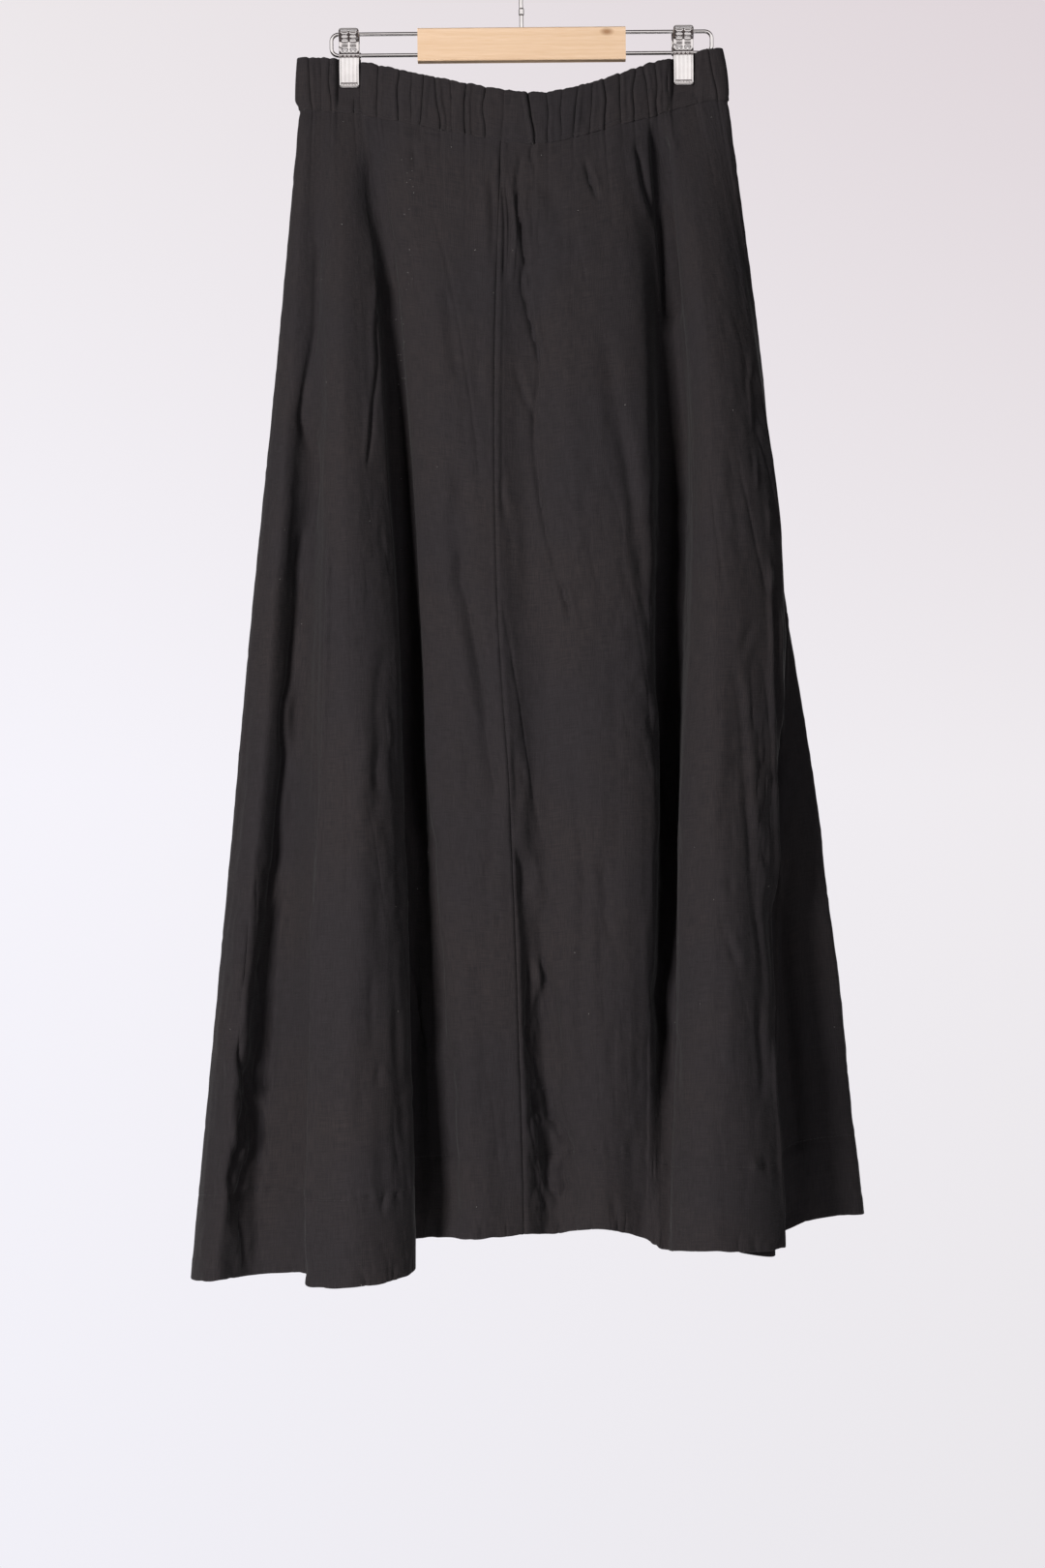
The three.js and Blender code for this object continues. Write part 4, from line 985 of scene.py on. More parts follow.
def stitch_row(points, out, pitch, length, radius, lift):
    """Stitches of a given length along a line of points, lying on the cloth."""
    legs = np.linalg.norm(np.diff(points, axis=0), axis=1)
    along = np.concatenate([[0], np.cumsum(legs)])
    starts = np.arange(pitch / 2, along[-1] - length, pitch)

    def read(at, table):
        return np.stack([np.interp(at, along, table[:, k]) for k in range(3)], axis=1)

    normals = unit(read(starts, out))
    ends = read(starts + length, points) + normals * lift
    return threads(read(starts, points) + normals * lift, ends, normals, radius)


def across_rows(surface, s, distance):
    """The line across a panel at a distance down it."""
    row = np.interp(distance, s, np.arange(len(s)))
    low = int(row)
    return mix(surface[low], surface[min(low + 1, len(s) - 1)], row - low)


# The hanger
HOOK_WIRE = 3.4
HOOK_INSIDE = 20.0
RAIL_WIRE = 3.2
RAIL_REACH = 161.0
RAIL_CORNER = 6.0
RAIL_SEAT_X = 77.0
SHAFT_FOOT_Z = -93.0
SHAFT_TOP_Z = -56.0
HOOK_KNOTS = ((0, -70.0), (0, SHAFT_TOP_Z), (4, -45.5))
COLLAR_HEIGHTS = (-67.0, -69.0)
COLLAR_SWELL = 0.55


def hang(points):
    """Tilts points of the level hanger as it hangs."""
    x, y, z = np.asarray(points, float).T
    c, s = math.cos(HANGER_TILT), math.sin(HANGER_TILT)
    return np.stack([x * c - z * s, y, x * s + z * c], axis=1)


def arc(centre, radius, start, end, steps):
    angles = np.radians(np.linspace(start, end, steps))
    x, z = centre[0] + radius * np.cos(angles), centre[1] + radius * np.sin(angles)
    return np.stack([x, 0 * x, z], axis=1)


def hook():
    radius = HOOK_INSIDE + HOOK_WIRE / 2
    crown = arc((0, -HOOK_INSIDE), radius, -48, 202, 11)
    knots = [(0, 0, SHAFT_FOOT_Z), *((x, 0, z) for x, z in HOOK_KNOTS), *crown]
    knots = np.array(knots, float)[None]
    path = curve_points(knots, np.linspace(0, knots.shape[1] - 1, 150), False)[0]
    parts = [tube(hang(path), HOOK_WIRE / 2, 20)]
    for z in COLLAR_HEIGHTS:
        ring = [(0, 0, z + up) for up in np.linspace(-0.8, 0.8, 5)]
        parts.append(tube(hang(ring), HOOK_WIRE / 2 + COLLAR_SWELL, 24))
    return mesh_object("hook_wire", *joined(parts))


def rail(name, end):
    top, low, reach = UPPER_RAIL_Z, LOWER_RAIL_Z, RAIL_REACH - RAIL_CORNER
    upper = [(x, 0, top) for x in np.linspace(RAIL_SEAT_X, reach, 30)]
    lower = [(x, 0, low) for x in np.linspace(reach, RAIL_SEAT_X, 30)]
    outer = [(RAIL_REACH, 0, z) for z in np.linspace(top - RAIL_CORNER, low + RAIL_CORNER, 5)[1:-1]]
    bend = arc((reach, top - RAIL_CORNER), RAIL_CORNER, 90, 0, 9)
    turn = arc((reach, low + RAIL_CORNER), RAIL_CORNER, 0, -90, 9)
    path = np.array([*upper, *bend[1:], *outer, *turn[:-1], *lower])
    path[:, 0] *= end
    return mesh_object(name, *tube(hang(path), RAIL_WIRE / 2, 18))


# The clips: the inner face of a jaw from its finger tab down to its lip, as the distance out from
# the middle plane and the height over the lower rail
JAW_FACE = np.array(
    [
        (8.4, 21.5),
        (6.2, 15.5),
        (3.6, 11),
        (3.5, 6),
        (3.3, 3),
        (1.9, 0.9),
        (1.9, -0.9),
        (3.1, -2.8),
        (3.9, -12),
        (2.7, -24.5),
        (2.7, -26.5),
        (4.2, -28.5),
    ]
)
JAW_HEIGHT = 50.0
CLIP_WIDTH = 17.0
JAW_PLATE = 1.0
RIM_WIDTH = 1.5
RIM_HEIGHT = 0.75
RIB_WIDTH = 3.5
RIB_HEIGHT = 1.2
RIBS = 4
GRIP_ROWS = 5
GRIP_WIDTH = 6.0
GRIP_HEIGHT = 1.25
GRIP_TOP = 0.06  # this and the next are shares of the jaw's height
GRIP_PITCH = 0.058
TEETH = 6
TOOTH_HEIGHT = 0.9
JAW_ROWS = 120
JAW_COLUMNS = 68
CORNER = 2.2
EAR_TOP, EAR_FOOT = 13.0, 4.5


def face_line(start, end, steps):
    """Points of a jaw's outer face between two shares of its height, and the way out from it."""
    heights = JAW_FACE[:, 1]
    up = np.linspace(mix(heights[0], heights[-1], start), mix(heights[0], heights[-1], end), steps)
    out = np.interp(-up, -heights, JAW_FACE[:, 0])
    line = np.stack([out, up], axis=1)
    for _ in range(2):
        line[1:-1] = (line[:-2] + 2 * line[1:-1] + line[2:]) / 4
    along = unit(np.gradient(line, axis=0))
    away = np.stack([-along[:, 1], along[:, 0]], axis=1)
    return line, away


def jaw_relief(across, share):
    """Height of the stamped pattern on a jaw's face, from the middle of its width outwards."""
    edge = CLIP_WIDTH / 2 - np.abs(across)
    rim = RIM_HEIGHT * smooth(RIM_WIDTH - edge, 0, 0.5)
    inside = CLIP_WIDTH - 2 * RIM_WIDTH
    place = (across + inside / 2) / inside * RIBS
    rib_at = np.abs(place - np.floor(place) - 0.5) * inside / RIBS
    rib = RIB_HEIGHT * np.sqrt(np.clip(1 - (rib_at / (RIB_WIDTH / 2)) ** 2, 0, 1))
    ribbed = smooth(share, 0.365, 0.375) * (1 - smooth(share, 0.905, 0.93)) * (edge > RIM_WIDTH)
    height = np.maximum(rim, rib * ribbed)
    row = (share - GRIP_TOP) / GRIP_PITCH
    bar = np.abs(row - np.floor(row) - 0.5) * 2
    column = (np.abs(across) - 0.55) / GRIP_WIDTH
    pad = np.sqrt(np.clip(1 - bar**2, 0, 1)) * np.clip(1 - np.abs(2 * column - 1) ** 6, 0, 1)
    gripped = (share > GRIP_TOP) & (share < GRIP_TOP + GRIP_PITCH * GRIP_ROWS)
    height = np.maximum(height, GRIP_HEIGHT * pad * gripped)
    height = np.maximum(height, RIM_HEIGHT * (1 - smooth(share, 0.02, 0.045)))
    tooth = np.abs((across / inside * TEETH) % 1 - 0.5) * 2
    tooth = TOOTH_HEIGHT * tooth * smooth(share, 0.93, 0.94) * (1 - smooth(share, 0.955, 0.965))
    height = np.maximum(height, tooth * (edge > RIM_WIDTH))
    return np.maximum(height, RIM_HEIGHT * smooth(share, 0.972, 0.98))


def jaw(name, centre, facing):
    """A stamped sheet-metal jaw with its grip, ribs, rim and toothed lip."""
    line, away = face_line(0, 1, JAW_ROWS)
    share = np.linspace(0, 1, JAW_ROWS)[:, None]
    across = np.linspace(-CLIP_WIDTH / 2, CLIP_WIDTH / 2, JAW_COLUMNS)[None, :]
    corner = np.clip(1 - np.minimum(share, 1 - share) * JAW_HEIGHT / CORNER, 0, 1)
    across = across * (1 - (CORNER / CLIP_WIDTH * 2) * (1 - np.sqrt(1 - corner**2)))
    height = JAW_PLATE + jaw_relief(across, share)
    edge = CLIP_WIDTH / 2 - np.abs(across)
    height = height - 0.5 * (1 - smooth(edge, 0, 0.45))

    def face(distance):
        out = line[:, :1] + away[:, :1] * distance
        up = line[:, 1:] + away[:, 1:] * distance
        return np.stack([centre + across + 0 * out, facing * out, LOWER_RAIL_Z + up], axis=-1)

    front, rear = face(height), face(0 * height)
    loop = np.concatenate([front, rear[::-1]])
    rows, columns = loop.shape[:2]
    quads = [grid_quads(rows, columns, True, False)]
    pairs = np.arange(JAW_ROWS - 1)
    back = rows - 1 - pairs
    cap = np.stack([pairs, back, back - 1, pairs + 1], axis=1) * columns
    quads += [cap, cap[:, ::-1] + columns - 1]
    quads = np.concatenate(quads)
    if facing > 0:
        quads = quads[:, ::-1]
    parts = [(hang(loop.reshape(-1, 3)), quads)]
    for side in (-1, 1):
        parts.append(ear(centre + side * (CLIP_WIDTH / 2 - 0.5), facing))
    if facing > 0:
        end, top, foot = (1, 3.6, -6.2) if centre < 0 else (-1, 18.8, -1.6)
        parts.append(tab(centre + end * (CLIP_WIDTH / 2 + 0.5), top, foot))
    return mesh_object(name, *joined(parts))


def tab(x, top, foot):
    """The lug that stands out beside the back jaw."""
    outline = [(5.0, top), (2.0, top - 0.7), (2.0, foot + 0.7), (4.4, foot)]
    points = [[(x + side, out, LOWER_RAIL_Z + up) for out, up in outline] for side in (-0.6, 0.6)]
    sides = grid_quads(2, 4, False, True)
    ends = np.array([[0, 1, 2, 3], [7, 6, 5, 4]])
    return hang(np.reshape(points, (-1, 3))), np.concatenate([sides, ends])


def ear(x, facing):
    """The side of a jaw that is bent back to carry the spring's pin."""
    outline = [(3.6, EAR_TOP), (0.7, 9.6), (0.7, 7.8), (3.4, EAR_FOOT)]
    rows = []
    for offset in (-0.4, 0.4):
        rows.append([(x + offset, facing * out, LOWER_RAIL_Z + up) for out, up in outline])
    points = np.array(rows)
    count = len(outline)
    quads = grid_quads(2, count, False, True)
    caps = np.array([[0, 1, 2, 3]])
    quads = np.concatenate([quads, caps, caps[:, ::-1] + count])
    return hang(points.reshape(-1, 3)), quads


SPRING_RADIUS = 3.2
SPRING_WIRE = 1.25
SPRING_TURNS = 5
SPRING_LENGTH = 12.0
SPRING_HEIGHT = 9.0
SPRING_ARM = 9.0


def spring(name, centre):
    """The coil between a clip's jaws, with an arm that presses on each."""
    turns = np.linspace(-0.25, SPRING_TURNS + 0.25, 30 * SPRING_TURNS)
    angle = 2 * math.pi * turns
    x = centre + SPRING_LENGTH * (turns / SPRING_TURNS - 0.5)
    coil_radius = SPRING_RADIUS - SPRING_WIRE / 2
    y = coil_radius * np.cos(angle)
    z = LOWER_RAIL_Z + SPRING_HEIGHT + coil_radius * np.sin(angle)
    coil = np.stack([x, y, z], axis=1)
    ends = [coil[0] + unit(coil[0] - coil[1]) * SPRING_ARM * k for k in (1, 0.5)]
    tail = [coil[-1] + unit(coil[-1] - coil[-2]) * SPRING_ARM * k for k in (0.5, 1)]
    path = np.concatenate([ends, coil, tail])
    return mesh_object(name, *tube(hang(path), SPRING_WIRE / 2, 10))


# Materials
LINEN_COOL = (0.0250, 0.0221, 0.0242, 1)
LINEN_WARM = (0.0285, 0.0240, 0.0246, 1)
LINEN_SHADE = (0.0190, 0.0168, 0.0182, 1)
LINEN_SHEEN = 0.08
LINT_COLOURS = ((0.20, 0.19, 0.18, 1), (0.42, 0.41, 0.40, 1))
THREADS_PER_METRE = 1650.0
THREAD_COLOURS = ((0.005, 0.005, 0.005, 1), (0.014, 0.012, 0.013, 1))
BAR_SIZE = (0.176, 0.012, 0.028)
KNOT_AT = (0.160, 0.006, 0.0235)
WOOD_EARLY = (0.70, 0.513, 0.367, 1)
WOOD_LATE = (0.633, 0.45, 0.307, 1)
WOOD_PORE = (0.55, 0.34, 0.18, 1)
WOOD_KNOT = (0.26, 0.13, 0.06, 1)


def socket(sockets, identifier):
    """The socket of a node with a given identifier, for nodes that show one of several."""
    return next(s for s in sockets if s.identifier == identifier)


class Paint:
    """A material's nodes, added one at a time."""

    def __init__(self, name):
        self.material = bpy.data.materials.new(name)
        self.material.use_nodes = True
        self.tree = self.material.node_tree
        self.shader = self.tree.nodes["Principled BSDF"]

    def set(self, **values):
        for key, value in values.items():
            self.plug(self.shader.inputs[key.replace("_", " ")], value)
        return self

    def plug(self, end, value):
        if isinstance(value, bpy.types.NodeSocket):
            self.tree.links.new(value, end)
        else:
            end.default_value = value

    def node(self, kind, *values, **settings):
        node = self.tree.nodes.new(kind)
        for key, value in settings.items():
            setattr(node, key, value)
        for end, value in zip(node.inputs, values):
            self.plug(end, value)
        return node

    def stretched(self, place, scale):
        return self.node("ShaderNodeMapping", place, (0, 0, 0), (0, 0, 0), scale).outputs[0]

    def noise(self, place, scale, detail=2.0):
        noise = self.node("ShaderNodeTexNoise")
        self.plug(noise.inputs["Vector"], place)
        noise.inputs["Scale"].default_value = scale
        noise.inputs["Detail"].default_value = detail
        return noise.outputs[0]

    def sum(self, first, second):
        return self.node("ShaderNodeMath", first, second, operation="ADD").outputs[0]

    def times(self, first, second):
        return self.node("ShaderNodeMath", first, second, operation="MULTIPLY").outputs[0]

    def range(self, value, low, high, to_low, to_high):
        return self.node("ShaderNodeMapRange", value, low, high, to_low, to_high).outputs[0]

    def blend(self, share, first, second):
        mixer = self.node("ShaderNodeMix", data_type="RGBA")
        for key, value in (("Factor_Float", share), ("A_Color", first), ("B_Color", second)):
            self.plug(socket(mixer.inputs, key), value)
        return socket(mixer.outputs, "Result_Color")

    def bump(self, height, strength, distance):
        bump = self.node("ShaderNodeBump")
        bump.inputs["Strength"].default_value = strength
        bump.inputs["Distance"].default_value = distance
        self.plug(bump.inputs["Height"], height)
        self.plug(self.shader.inputs["Normal"], bump.outputs[0])


def linen_material():
    """Yarn-dyed linen with slubs, a plain weave and faint patches."""
    paint = Paint("black_linen")
    place = paint.node("ShaderNodeUVMap", uv_map="cloth").outputs[0]
    weft = paint.noise(paint.stretched(place, (70, 1500, 1)), 1.0, 1.0)
    warp = paint.noise(paint.stretched(place, (1500, 70, 1)), 1.0, 1.0)
    slubs = paint.sum(weft, warp)
    patches = paint.noise(place, 9.0, 3.0)
    worn = paint.blend(paint.range(patches, 0.4, 0.62, 0, 1), LINEN_COOL, LINEN_WARM)
    thread = paint.range(slubs, 0.75, 1.25, 0.0, 1.0)
    woven = paint.blend(thread, LINEN_SHADE, worn)
    paint.set(Base_Color=woven, Roughness=0.86, Sheen_Weight=LINEN_SHEEN, Sheen_Roughness=0.4)
    paint.set(Specular_IOR_Level=0.12)
    over = paint.node("ShaderNodeTexWave", wave_type="BANDS", bands_direction="X")
    under = paint.node("ShaderNodeTexWave", wave_type="BANDS", bands_direction="Y")
    for wave in (over, under):
        paint.plug(wave.inputs["Vector"], place)
        wave.inputs["Scale"].default_value = THREADS_PER_METRE / 20 * math.pi
        wave.inputs["Distortion"].default_value = 0.6
    weave = paint.times(paint.sum(over.outputs[1], under.outputs[1]), 0.35)
    rumple = paint.noise(place, 75.0, 4.0)
    surface = paint.sum(paint.sum(weave, slubs), paint.times(rumple, 8.0))
    paint.bump(surface, 0.6, 0.00024)
    return paint.material


def thread_material():
    paint = Paint("black_thread")
    place = paint.node("ShaderNodeTexCoord").outputs["Object"]
    twist = paint.noise(place, 2500.0, 1.0)
    paint.set(Base_Color=paint.blend(twist, *THREAD_COLOURS))
    paint.set(Roughness=0.6, Sheen_Weight=0.1)
    paint.bump(twist, 0.3, 0.0001)
    return paint.material


def lint_material():
    paint = Paint("pale_lint")
    place = paint.node("ShaderNodeTexCoord").outputs["Object"]
    paint.set(Base_Color=paint.blend(paint.noise(place, 400.0), *LINT_COLOURS))
    paint.set(Roughness=0.9, Sheen_Weight=0.2)
    return paint.material


def wood_material():
    paint = Paint("bare_wood")
    place = paint.node("ShaderNodeTexCoord").outputs["Generated"]
    place = paint.stretched(place, BAR_SIZE)
    bent = paint.noise(paint.stretched(place, (14, 30, 60)), 1.0, 2.0)
    grain_place = paint.stretched(place, (9, 300, 420))
    shifted = paint.node("ShaderNodeVectorMath", grain_place, bent, operation="ADD").outputs[0]
    grain = paint.noise(shifted, 1.0, 4.0)
    fine = paint.noise(paint.stretched(place, (60, 2600, 3200)), 1.0, 2.0)
    colour = paint.blend(paint.range(grain, 0.36, 0.66, 0, 1), WOOD_LATE, WOOD_EARLY)
    colour = paint.blend(paint.times(paint.range(fine, 0.35, 0.6, 1, 0), 0.4), colour, WOOD_PORE)
    knot_place = paint.node("ShaderNodeVectorMath", place, KNOT_AT, operation="SUBTRACT").outputs[0]
    knot_place = paint.stretched(knot_place, (0.55, 0, 1))
    from_knot = paint.node("ShaderNodeVectorMath", knot_place, operation="LENGTH").outputs["Value"]
    from_knot = paint.sum(from_knot, paint.times(bent, 0.0012))
    knot = paint.range(from_knot, 0.0014, 0.0042, 1, 0)
    colour = paint.blend(paint.times(knot, 0.85), colour, WOOD_KNOT)
    paint.set(Base_Color=colour, Roughness=paint.range(fine, 0.3, 0.7, 0.5, 0.62))
    paint.set(Coat_Weight=0.12, Coat_Roughness=0.3)
    paint.bump(paint.sum(grain, paint.times(fine, 0.4)), 0.25, 0.0004)
    return paint.material


def metal_material(name, colour, roughness, smudge, dulled):
    """Plated or bare metal with faint smudges and fine scratches."""
    paint = Paint(name)
    place = paint.node("ShaderNodeTexCoord").outputs["Object"]
    cloud = paint.noise(place, 120.0, 3.0)
    scratch = paint.noise(paint.stretched(place, (2400, 2400, 160)), 1.0, 1.0)
    shade = tuple(dulled * part for part in colour[:3]) + (1,)
    tint = paint.blend(paint.range(cloud, 0.35, 0.7, 0, 1), colour, shade)
    rough = paint.range(cloud, 0.3, 0.75, roughness, roughness + smudge)
    paint.set(Base_Color=tint, Metallic=1.0, Roughness=rough)
    paint.bump(scratch, 0.08, 0.00006)
    return paint.material


def dress(piece, material):
    """Gives a piece its material."""
    piece.data.materials.clear()
    piece.data.materials.append(material)


def fasten(piece, material, slot, *nodes):
    dress(piece, material)
    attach(piece, "root")
    if nodes:
        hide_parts(*nodes)


linen = linen_material()
thread = thread_material()
chrome = metal_material("chrome", (0.90, 0.87, 0.86, 1), 0.08, 0.08, 0.92)
steel = metal_material("spring_steel", (0.62, 0.62, 0.63, 1), 0.22, 0.12, 0.85)

# The skirt
waistband, casing_outer, casing_out, casing_down = casing()
fasten(waistband, linen, "linen", "waistband")

HIDDEN_CREASES = back_creases()
PANELS = [
    ("front_left", FRONT, LEFT_SIDE, FRONT_SEAM, FRONT_COLUMNS, FRONT_GATHERS, CREASES),
    ("front_right", FRONT, FRONT_SEAM, RIGHT_SIDE, FRONT_COLUMNS, FRONT_GATHERS, CREASES),
    ("back_right", BACK, RIGHT_SIDE, BACK_SEAM, BACK_COLUMNS, BACK_GATHERS, HIDDEN_CREASES),
    ("back_left", BACK, BACK_SEAM, len(FOLDS), BACK_COLUMNS, BACK_GATHERS, HIDDEN_CREASES),
]
panels, hem_threads, hem_widths, fronts = {}, {}, {}, []
for name, side, first, last, columns, gathers, creases in PANELS:
    cloth, outer, out, distance = panel(name + "_cloth", side, first, last, columns, gathers, creases)
    fasten(cloth, linen, "linen", name + "_panel")
    panels[name] = cloth
    if side == FRONT:
        fronts.append((outer, out))
    line = across_rows(outer, distance, HEM_TOP - HEM_STITCH_ABOVE)
    normals = unit(across_rows(out, distance, HEM_TOP - HEM_STITCH_ABOVE))
    stitches = stitch_row(line, normals, STITCH_PITCH, STITCH_LENGTH, THREAD_RADIUS, 0.02)
    hem_threads[name] = mesh_object(name + "_hem_stitches", *stitches)
    fasten(hem_threads[name], thread, "linen")
    hem_widths[name] = float(np.linalg.norm(np.diff(outer[-1], axis=0), axis=1).sum()) * MM

row = int(round(STITCH_DOWN * (CASING_DOWN - 1)))
ring = np.concatenate([casing_outer[row], casing_outer[row, :1]])
ring_out = np.concatenate([casing_out[row], casing_out[row, :1]])
waist_stitches = stitch_row(ring, ring_out, STITCH_PITCH, STITCH_LENGTH, THREAD_RADIUS, -0.05)
waist_threads = mesh_object("waistband_stitches", *waist_stitches)
fasten(waist_threads, thread, "linen")

# Lint that lies on the cloth, thinly, and in a few places more: (x, z), the width and height of
# each place, and the share of the cloth's points there that carry a fibre
LINT_THIN = 0.00035
LINT_LENGTH = (0.4, 1.3)
LINT_RADIUS = 0.14
LINT_PLACES = [
    ((-93, -215), (5, 22), 0.07),
    ((-97, -290), (4, 25), 0.08),
    ((-102, -370), (4, 28), 0.07),
    ((-99, -450), (3, 40), 0.04),
    ((-56, -176), (9, 5), 0.10),
    ((8, -180), (4, 3), 0.12),
    ((52, -232), (6, 8), 0.03),
    ((-20, -280), (30, 40), 0.003),
]
shades = np.random.default_rng(77)
lint_starts, lint_ends, lint_out = [], [], []
for surface, normals in fronts:
    x, z = seen_from_camera(surface)
    chance = np.full(x.shape, LINT_THIN)
    for (px, pz), (wide, tall), share in LINT_PLACES:
        chance += share * bell((x - px) / wide, 1) * bell((z - pz) / tall, 1)
    chosen = shades.uniform(0, 1, x.shape) < chance * (normals[..., 1] < -0.2)
    count = int(chosen.sum())
    turn = shades.uniform(0, math.pi, count)[:, None]
    reach = shades.uniform(*LINT_LENGTH, count)[:, None] / 2
    across = unit(np.cross(normals[chosen], UP))
    along = across * np.cos(turn) + np.cross(across, normals[chosen]) * np.sin(turn)
    lift = surface[chosen] + normals[chosen] * LINT_RADIUS
    lint_starts.append(lift - along * reach)
    lint_ends.append(lift + along * reach)
    lint_out.append(normals[chosen])
fibres = [np.concatenate(part) for part in (lint_starts, lint_ends, lint_out)]
lint = mesh_object("lint", *threads(*fibres, LINT_RADIUS))
fasten(lint, lint_material(), "linen")

# The hanger
for name, end in (("hanger_wire_left", -1), ("hanger_wire_right", 1)):
    fasten(rail(name + "_rod", end), chrome, "chrome", name)
fasten(hook(), chrome, "chrome", "hanger_hook")
dress(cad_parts["hanger_bar"], wood_material())
for name, centre in (("clip_left", CLIP_LEFT_X), ("clip_right", CLIP_RIGHT_X)):
    fasten(jaw(name + "_front_plate", centre, -1), chrome, "chrome", name + "_front_jaw")
    fasten(jaw(name + "_back_plate", centre, 1), chrome, "chrome", name + "_back_jaw")
    fasten(spring(name + "_coil", centre), steel, "spring_steel", name + "_spring")

# Floor, backdrop and light
FLOOR_Z = -1750.0
FLOOR_RADIUS = 1000.0
FLOOR_CORNERS = 72
KEY_POWER = 92.0
FILL_POWER = 13.0
UNDER_POWER = 12.0
# The pale backdrop the camera sees, at its left and right, from its foot to its top: painted shade
# darkens it towards the top and towards the right
BACKDROP_LEFT_PAINTED_SHADE = [(0, (0.88, 0.87, 0.93)), (0.5, (0.92, 0.905, 0.965)), (1, (0.84, 0.80, 0.82))]
BACKDROP_RIGHT_PAINTED_SHADE = [(0, (0.82, 0.80, 0.83)), (0.5, (0.86, 0.83, 0.86)), (1, (0.74, 0.67, 0.70))]
ROOM = [(0, (0.40, 0.40, 0.41)), (0.5, (0.6, 0.6, 0.62)), (1, (0.9, 0.9, 0.92))]
ROOM_STRENGTH = 0.05
MIRRORED_WALLS = [
    (0, (1.0, 0.98, 0.98)),
    (0.35, (0.85, 0.83, 0.83)),
    (0.5, (0.45, 0.43, 0.43)),
    (0.68, (0.06, 0.05, 0.05)),
    (1, (0.04, 0.035, 0.035)),
]
MIRRORED_HEIGHT = [
    (0, (0.06, 0.05, 0.05)),
    (0.38, (0.08, 0.07, 0.07)),
    (0.47, (0.95, 0.94, 0.94)),
    (0.73, (1, 1, 1)),
    (0.82, (0.13, 0.11, 0.11)),
    (1, (0.07, 0.06, 0.06)),
]

rim = arc((0, 0), FLOOR_RADIUS, 0, 360, FLOOR_CORNERS + 1)
rim = np.stack([rim[:, 0], rim[:, 2], np.full(len(rim), FLOOR_Z)], axis=1)
floor_points = np.concatenate([[(0, 0, FLOOR_Z)], rim])
spokes = np.arange(1, FLOOR_CORNERS + 1, 2)
floor_quads = np.stack([0 * spokes, spokes, spokes + 1, spokes + 2], axis=1)
floor = mesh_object("floor", floor_points, floor_quads, smooth_shading=False)
floor_paint = Paint("pale_floor")
floor_place = floor_paint.node("ShaderNodeTexCoord").outputs["Object"]
speckle = floor_paint.noise(floor_place, 60.0, 4.0)
floor_paint.set(Base_Color=floor_paint.blend(speckle, (0.74, 0.73, 0.75, 1), (0.80, 0.79, 0.81, 1)))
floor_paint.set(Roughness=0.7)
floor.data.materials.append(floor_paint.material)


def area_light(name, place, target, size, power, colour):
    light = bpy.data.lights.new(name, "AREA")
    light.shape = "SQUARE"
    light.size = size
    light.energy = power
    light.color = colour
    holder = bpy.data.objects.new(name, light)
    holder.location = place
    direction = mathutils.Vector(target) - mathutils.Vector(place)
    holder.rotation_euler = direction.to_track_quat("-Z", "Y").to_euler()
    holder.visible_glossy = False
    bpy.context.scene.collection.objects.link(holder)


area_light("key", (-1.35, -2.15, -0.45), (0, 0, -0.7), 0.6, KEY_POWER, (1.0, 0.985, 0.97))
area_light("fill", (1.2, -2.4, -0.3), (0, 0, -0.7), 0.8, FILL_POWER, (0.96, 0.98, 1.0))
area_light("under", (0, 0.6, -1.65), (0, 0, -0.1), 0.9, UNDER_POWER, (1.0, 1.0, 1.0))
area_light("back_key", (1.2, 2.3, 0.0), (0, 0, -0.7), 0.8, 0.85 * KEY_POWER, (1.0, 0.99, 0.98))
area_light("back_fill", (-1.5, 2.1, -0.2), (0, 0, -0.7), 1.2, 1.6 * FILL_POWER, (0.97, 0.98, 1.0))


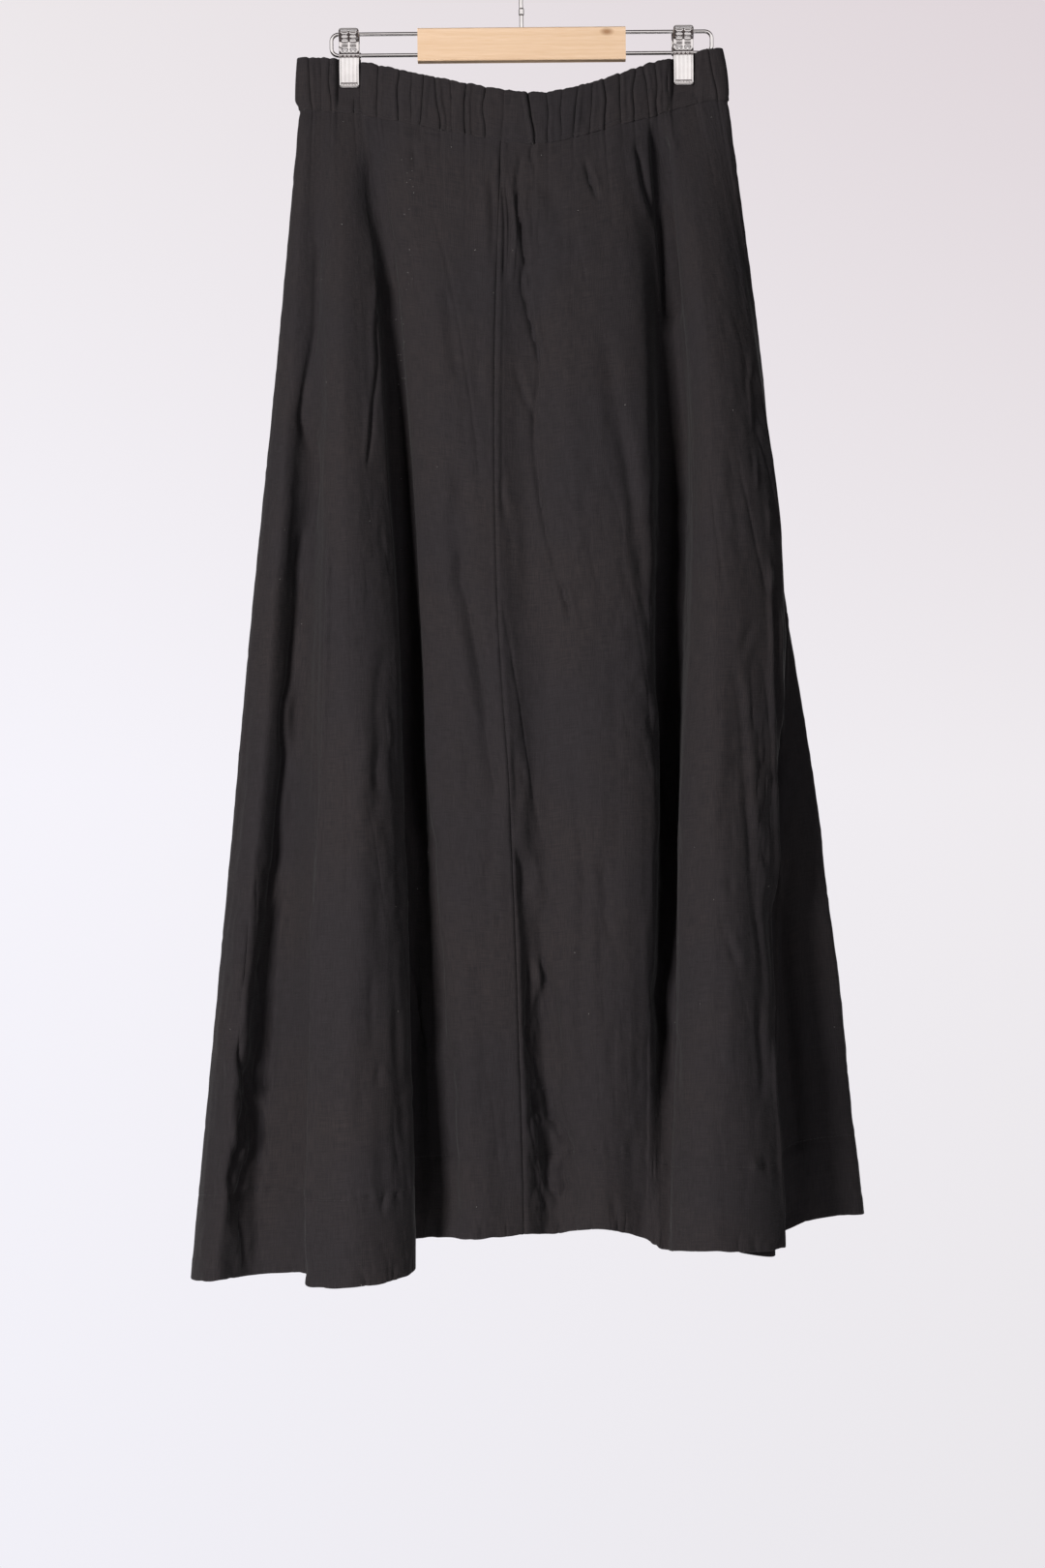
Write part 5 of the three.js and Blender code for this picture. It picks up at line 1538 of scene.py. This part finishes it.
def studio():
    """Pale backdrop for the camera, with painted shade darker towards its top and right, and a darker
    studio with bright walls for everything else.
    """
    world = bpy.data.worlds.new("studio")
    bpy.context.scene.world = world
    world.use_nodes = True
    tree = world.node_tree
    tree.nodes.clear()
    output = tree.nodes.new("ShaderNodeOutputWorld")
    place = tree.nodes.new("ShaderNodeTexCoord")
    parts = tree.nodes.new("ShaderNodeSeparateXYZ")
    tree.links.new(place.outputs["Generated"], parts.inputs[0])

    def ramp(source, low, high, stops):
        span = tree.nodes.new("ShaderNodeMapRange")
        span.inputs[1].default_value, span.inputs[2].default_value = low, high
        tree.links.new(source, span.inputs[0])
        colours = tree.nodes.new("ShaderNodeValToRGB")
        while len(colours.color_ramp.elements) < len(stops):
            colours.color_ramp.elements.new(0.5)
        for element, (at, colour) in zip(colours.color_ramp.elements, stops):
            element.position = at
            element.color = (*colour, 1)
        tree.links.new(span.outputs[0], colours.inputs[0])
        return colours.outputs[0]

    def background(colour, strength):
        shader = tree.nodes.new("ShaderNodeBackground")
        tree.links.new(colour, shader.inputs[0])
        shader.inputs[1].default_value = strength
        return shader.outputs[0]

    # The backdrop's colours carry painted shade, darker at the top and to the right
    left = ramp(parts.outputs[2], -0.25, 0.25, BACKDROP_LEFT_PAINTED_SHADE)
    right = ramp(parts.outputs[2], -0.25, 0.25, BACKDROP_RIGHT_PAINTED_SHADE)
    across = tree.nodes.new("ShaderNodeMapRange")
    across.inputs[1].default_value, across.inputs[2].default_value = -0.16, 0.16
    tree.links.new(parts.outputs[0], across.inputs[0])
    backdrop = tree.nodes.new("ShaderNodeMix")
    backdrop.data_type = "RGBA"
    tree.links.new(across.outputs[0], socket(backdrop.inputs, "Factor_Float"))
    tree.links.new(left, socket(backdrop.inputs, "A_Color"))
    tree.links.new(right, socket(backdrop.inputs, "B_Color"))
    shown = socket(backdrop.outputs, "Result_Color")

    room = ramp(parts.outputs[1], -1, 1, ROOM)
    rays = tree.nodes.new("ShaderNodeLightPath")

    def choose(ray, no, yes):
        chosen = tree.nodes.new("ShaderNodeMixShader")
        tree.links.new(rays.outputs[ray], chosen.inputs[0])
        tree.links.new(no, chosen.inputs[1])
        tree.links.new(yes, chosen.inputs[2])
        return chosen.outputs[0]

    lit = background(room, ROOM_STRENGTH)
    walls = ramp(parts.outputs[1], -1, 1, MIRRORED_WALLS)
    heights = ramp(parts.outputs[2], -1, 1, MIRRORED_HEIGHT)
    together = tree.nodes.new("ShaderNodeVectorMath")
    together.operation = "MULTIPLY"
    tree.links.new(walls, together.inputs[0])
    tree.links.new(heights, together.inputs[1])
    mirrored = background(together.outputs[0], 1.1)
    lit = choose("Is Glossy Ray", lit, mirrored)
    lit = choose("Is Camera Ray", lit, background(shown, 1.0))
    tree.links.new(lit, output.inputs[0])


studio()
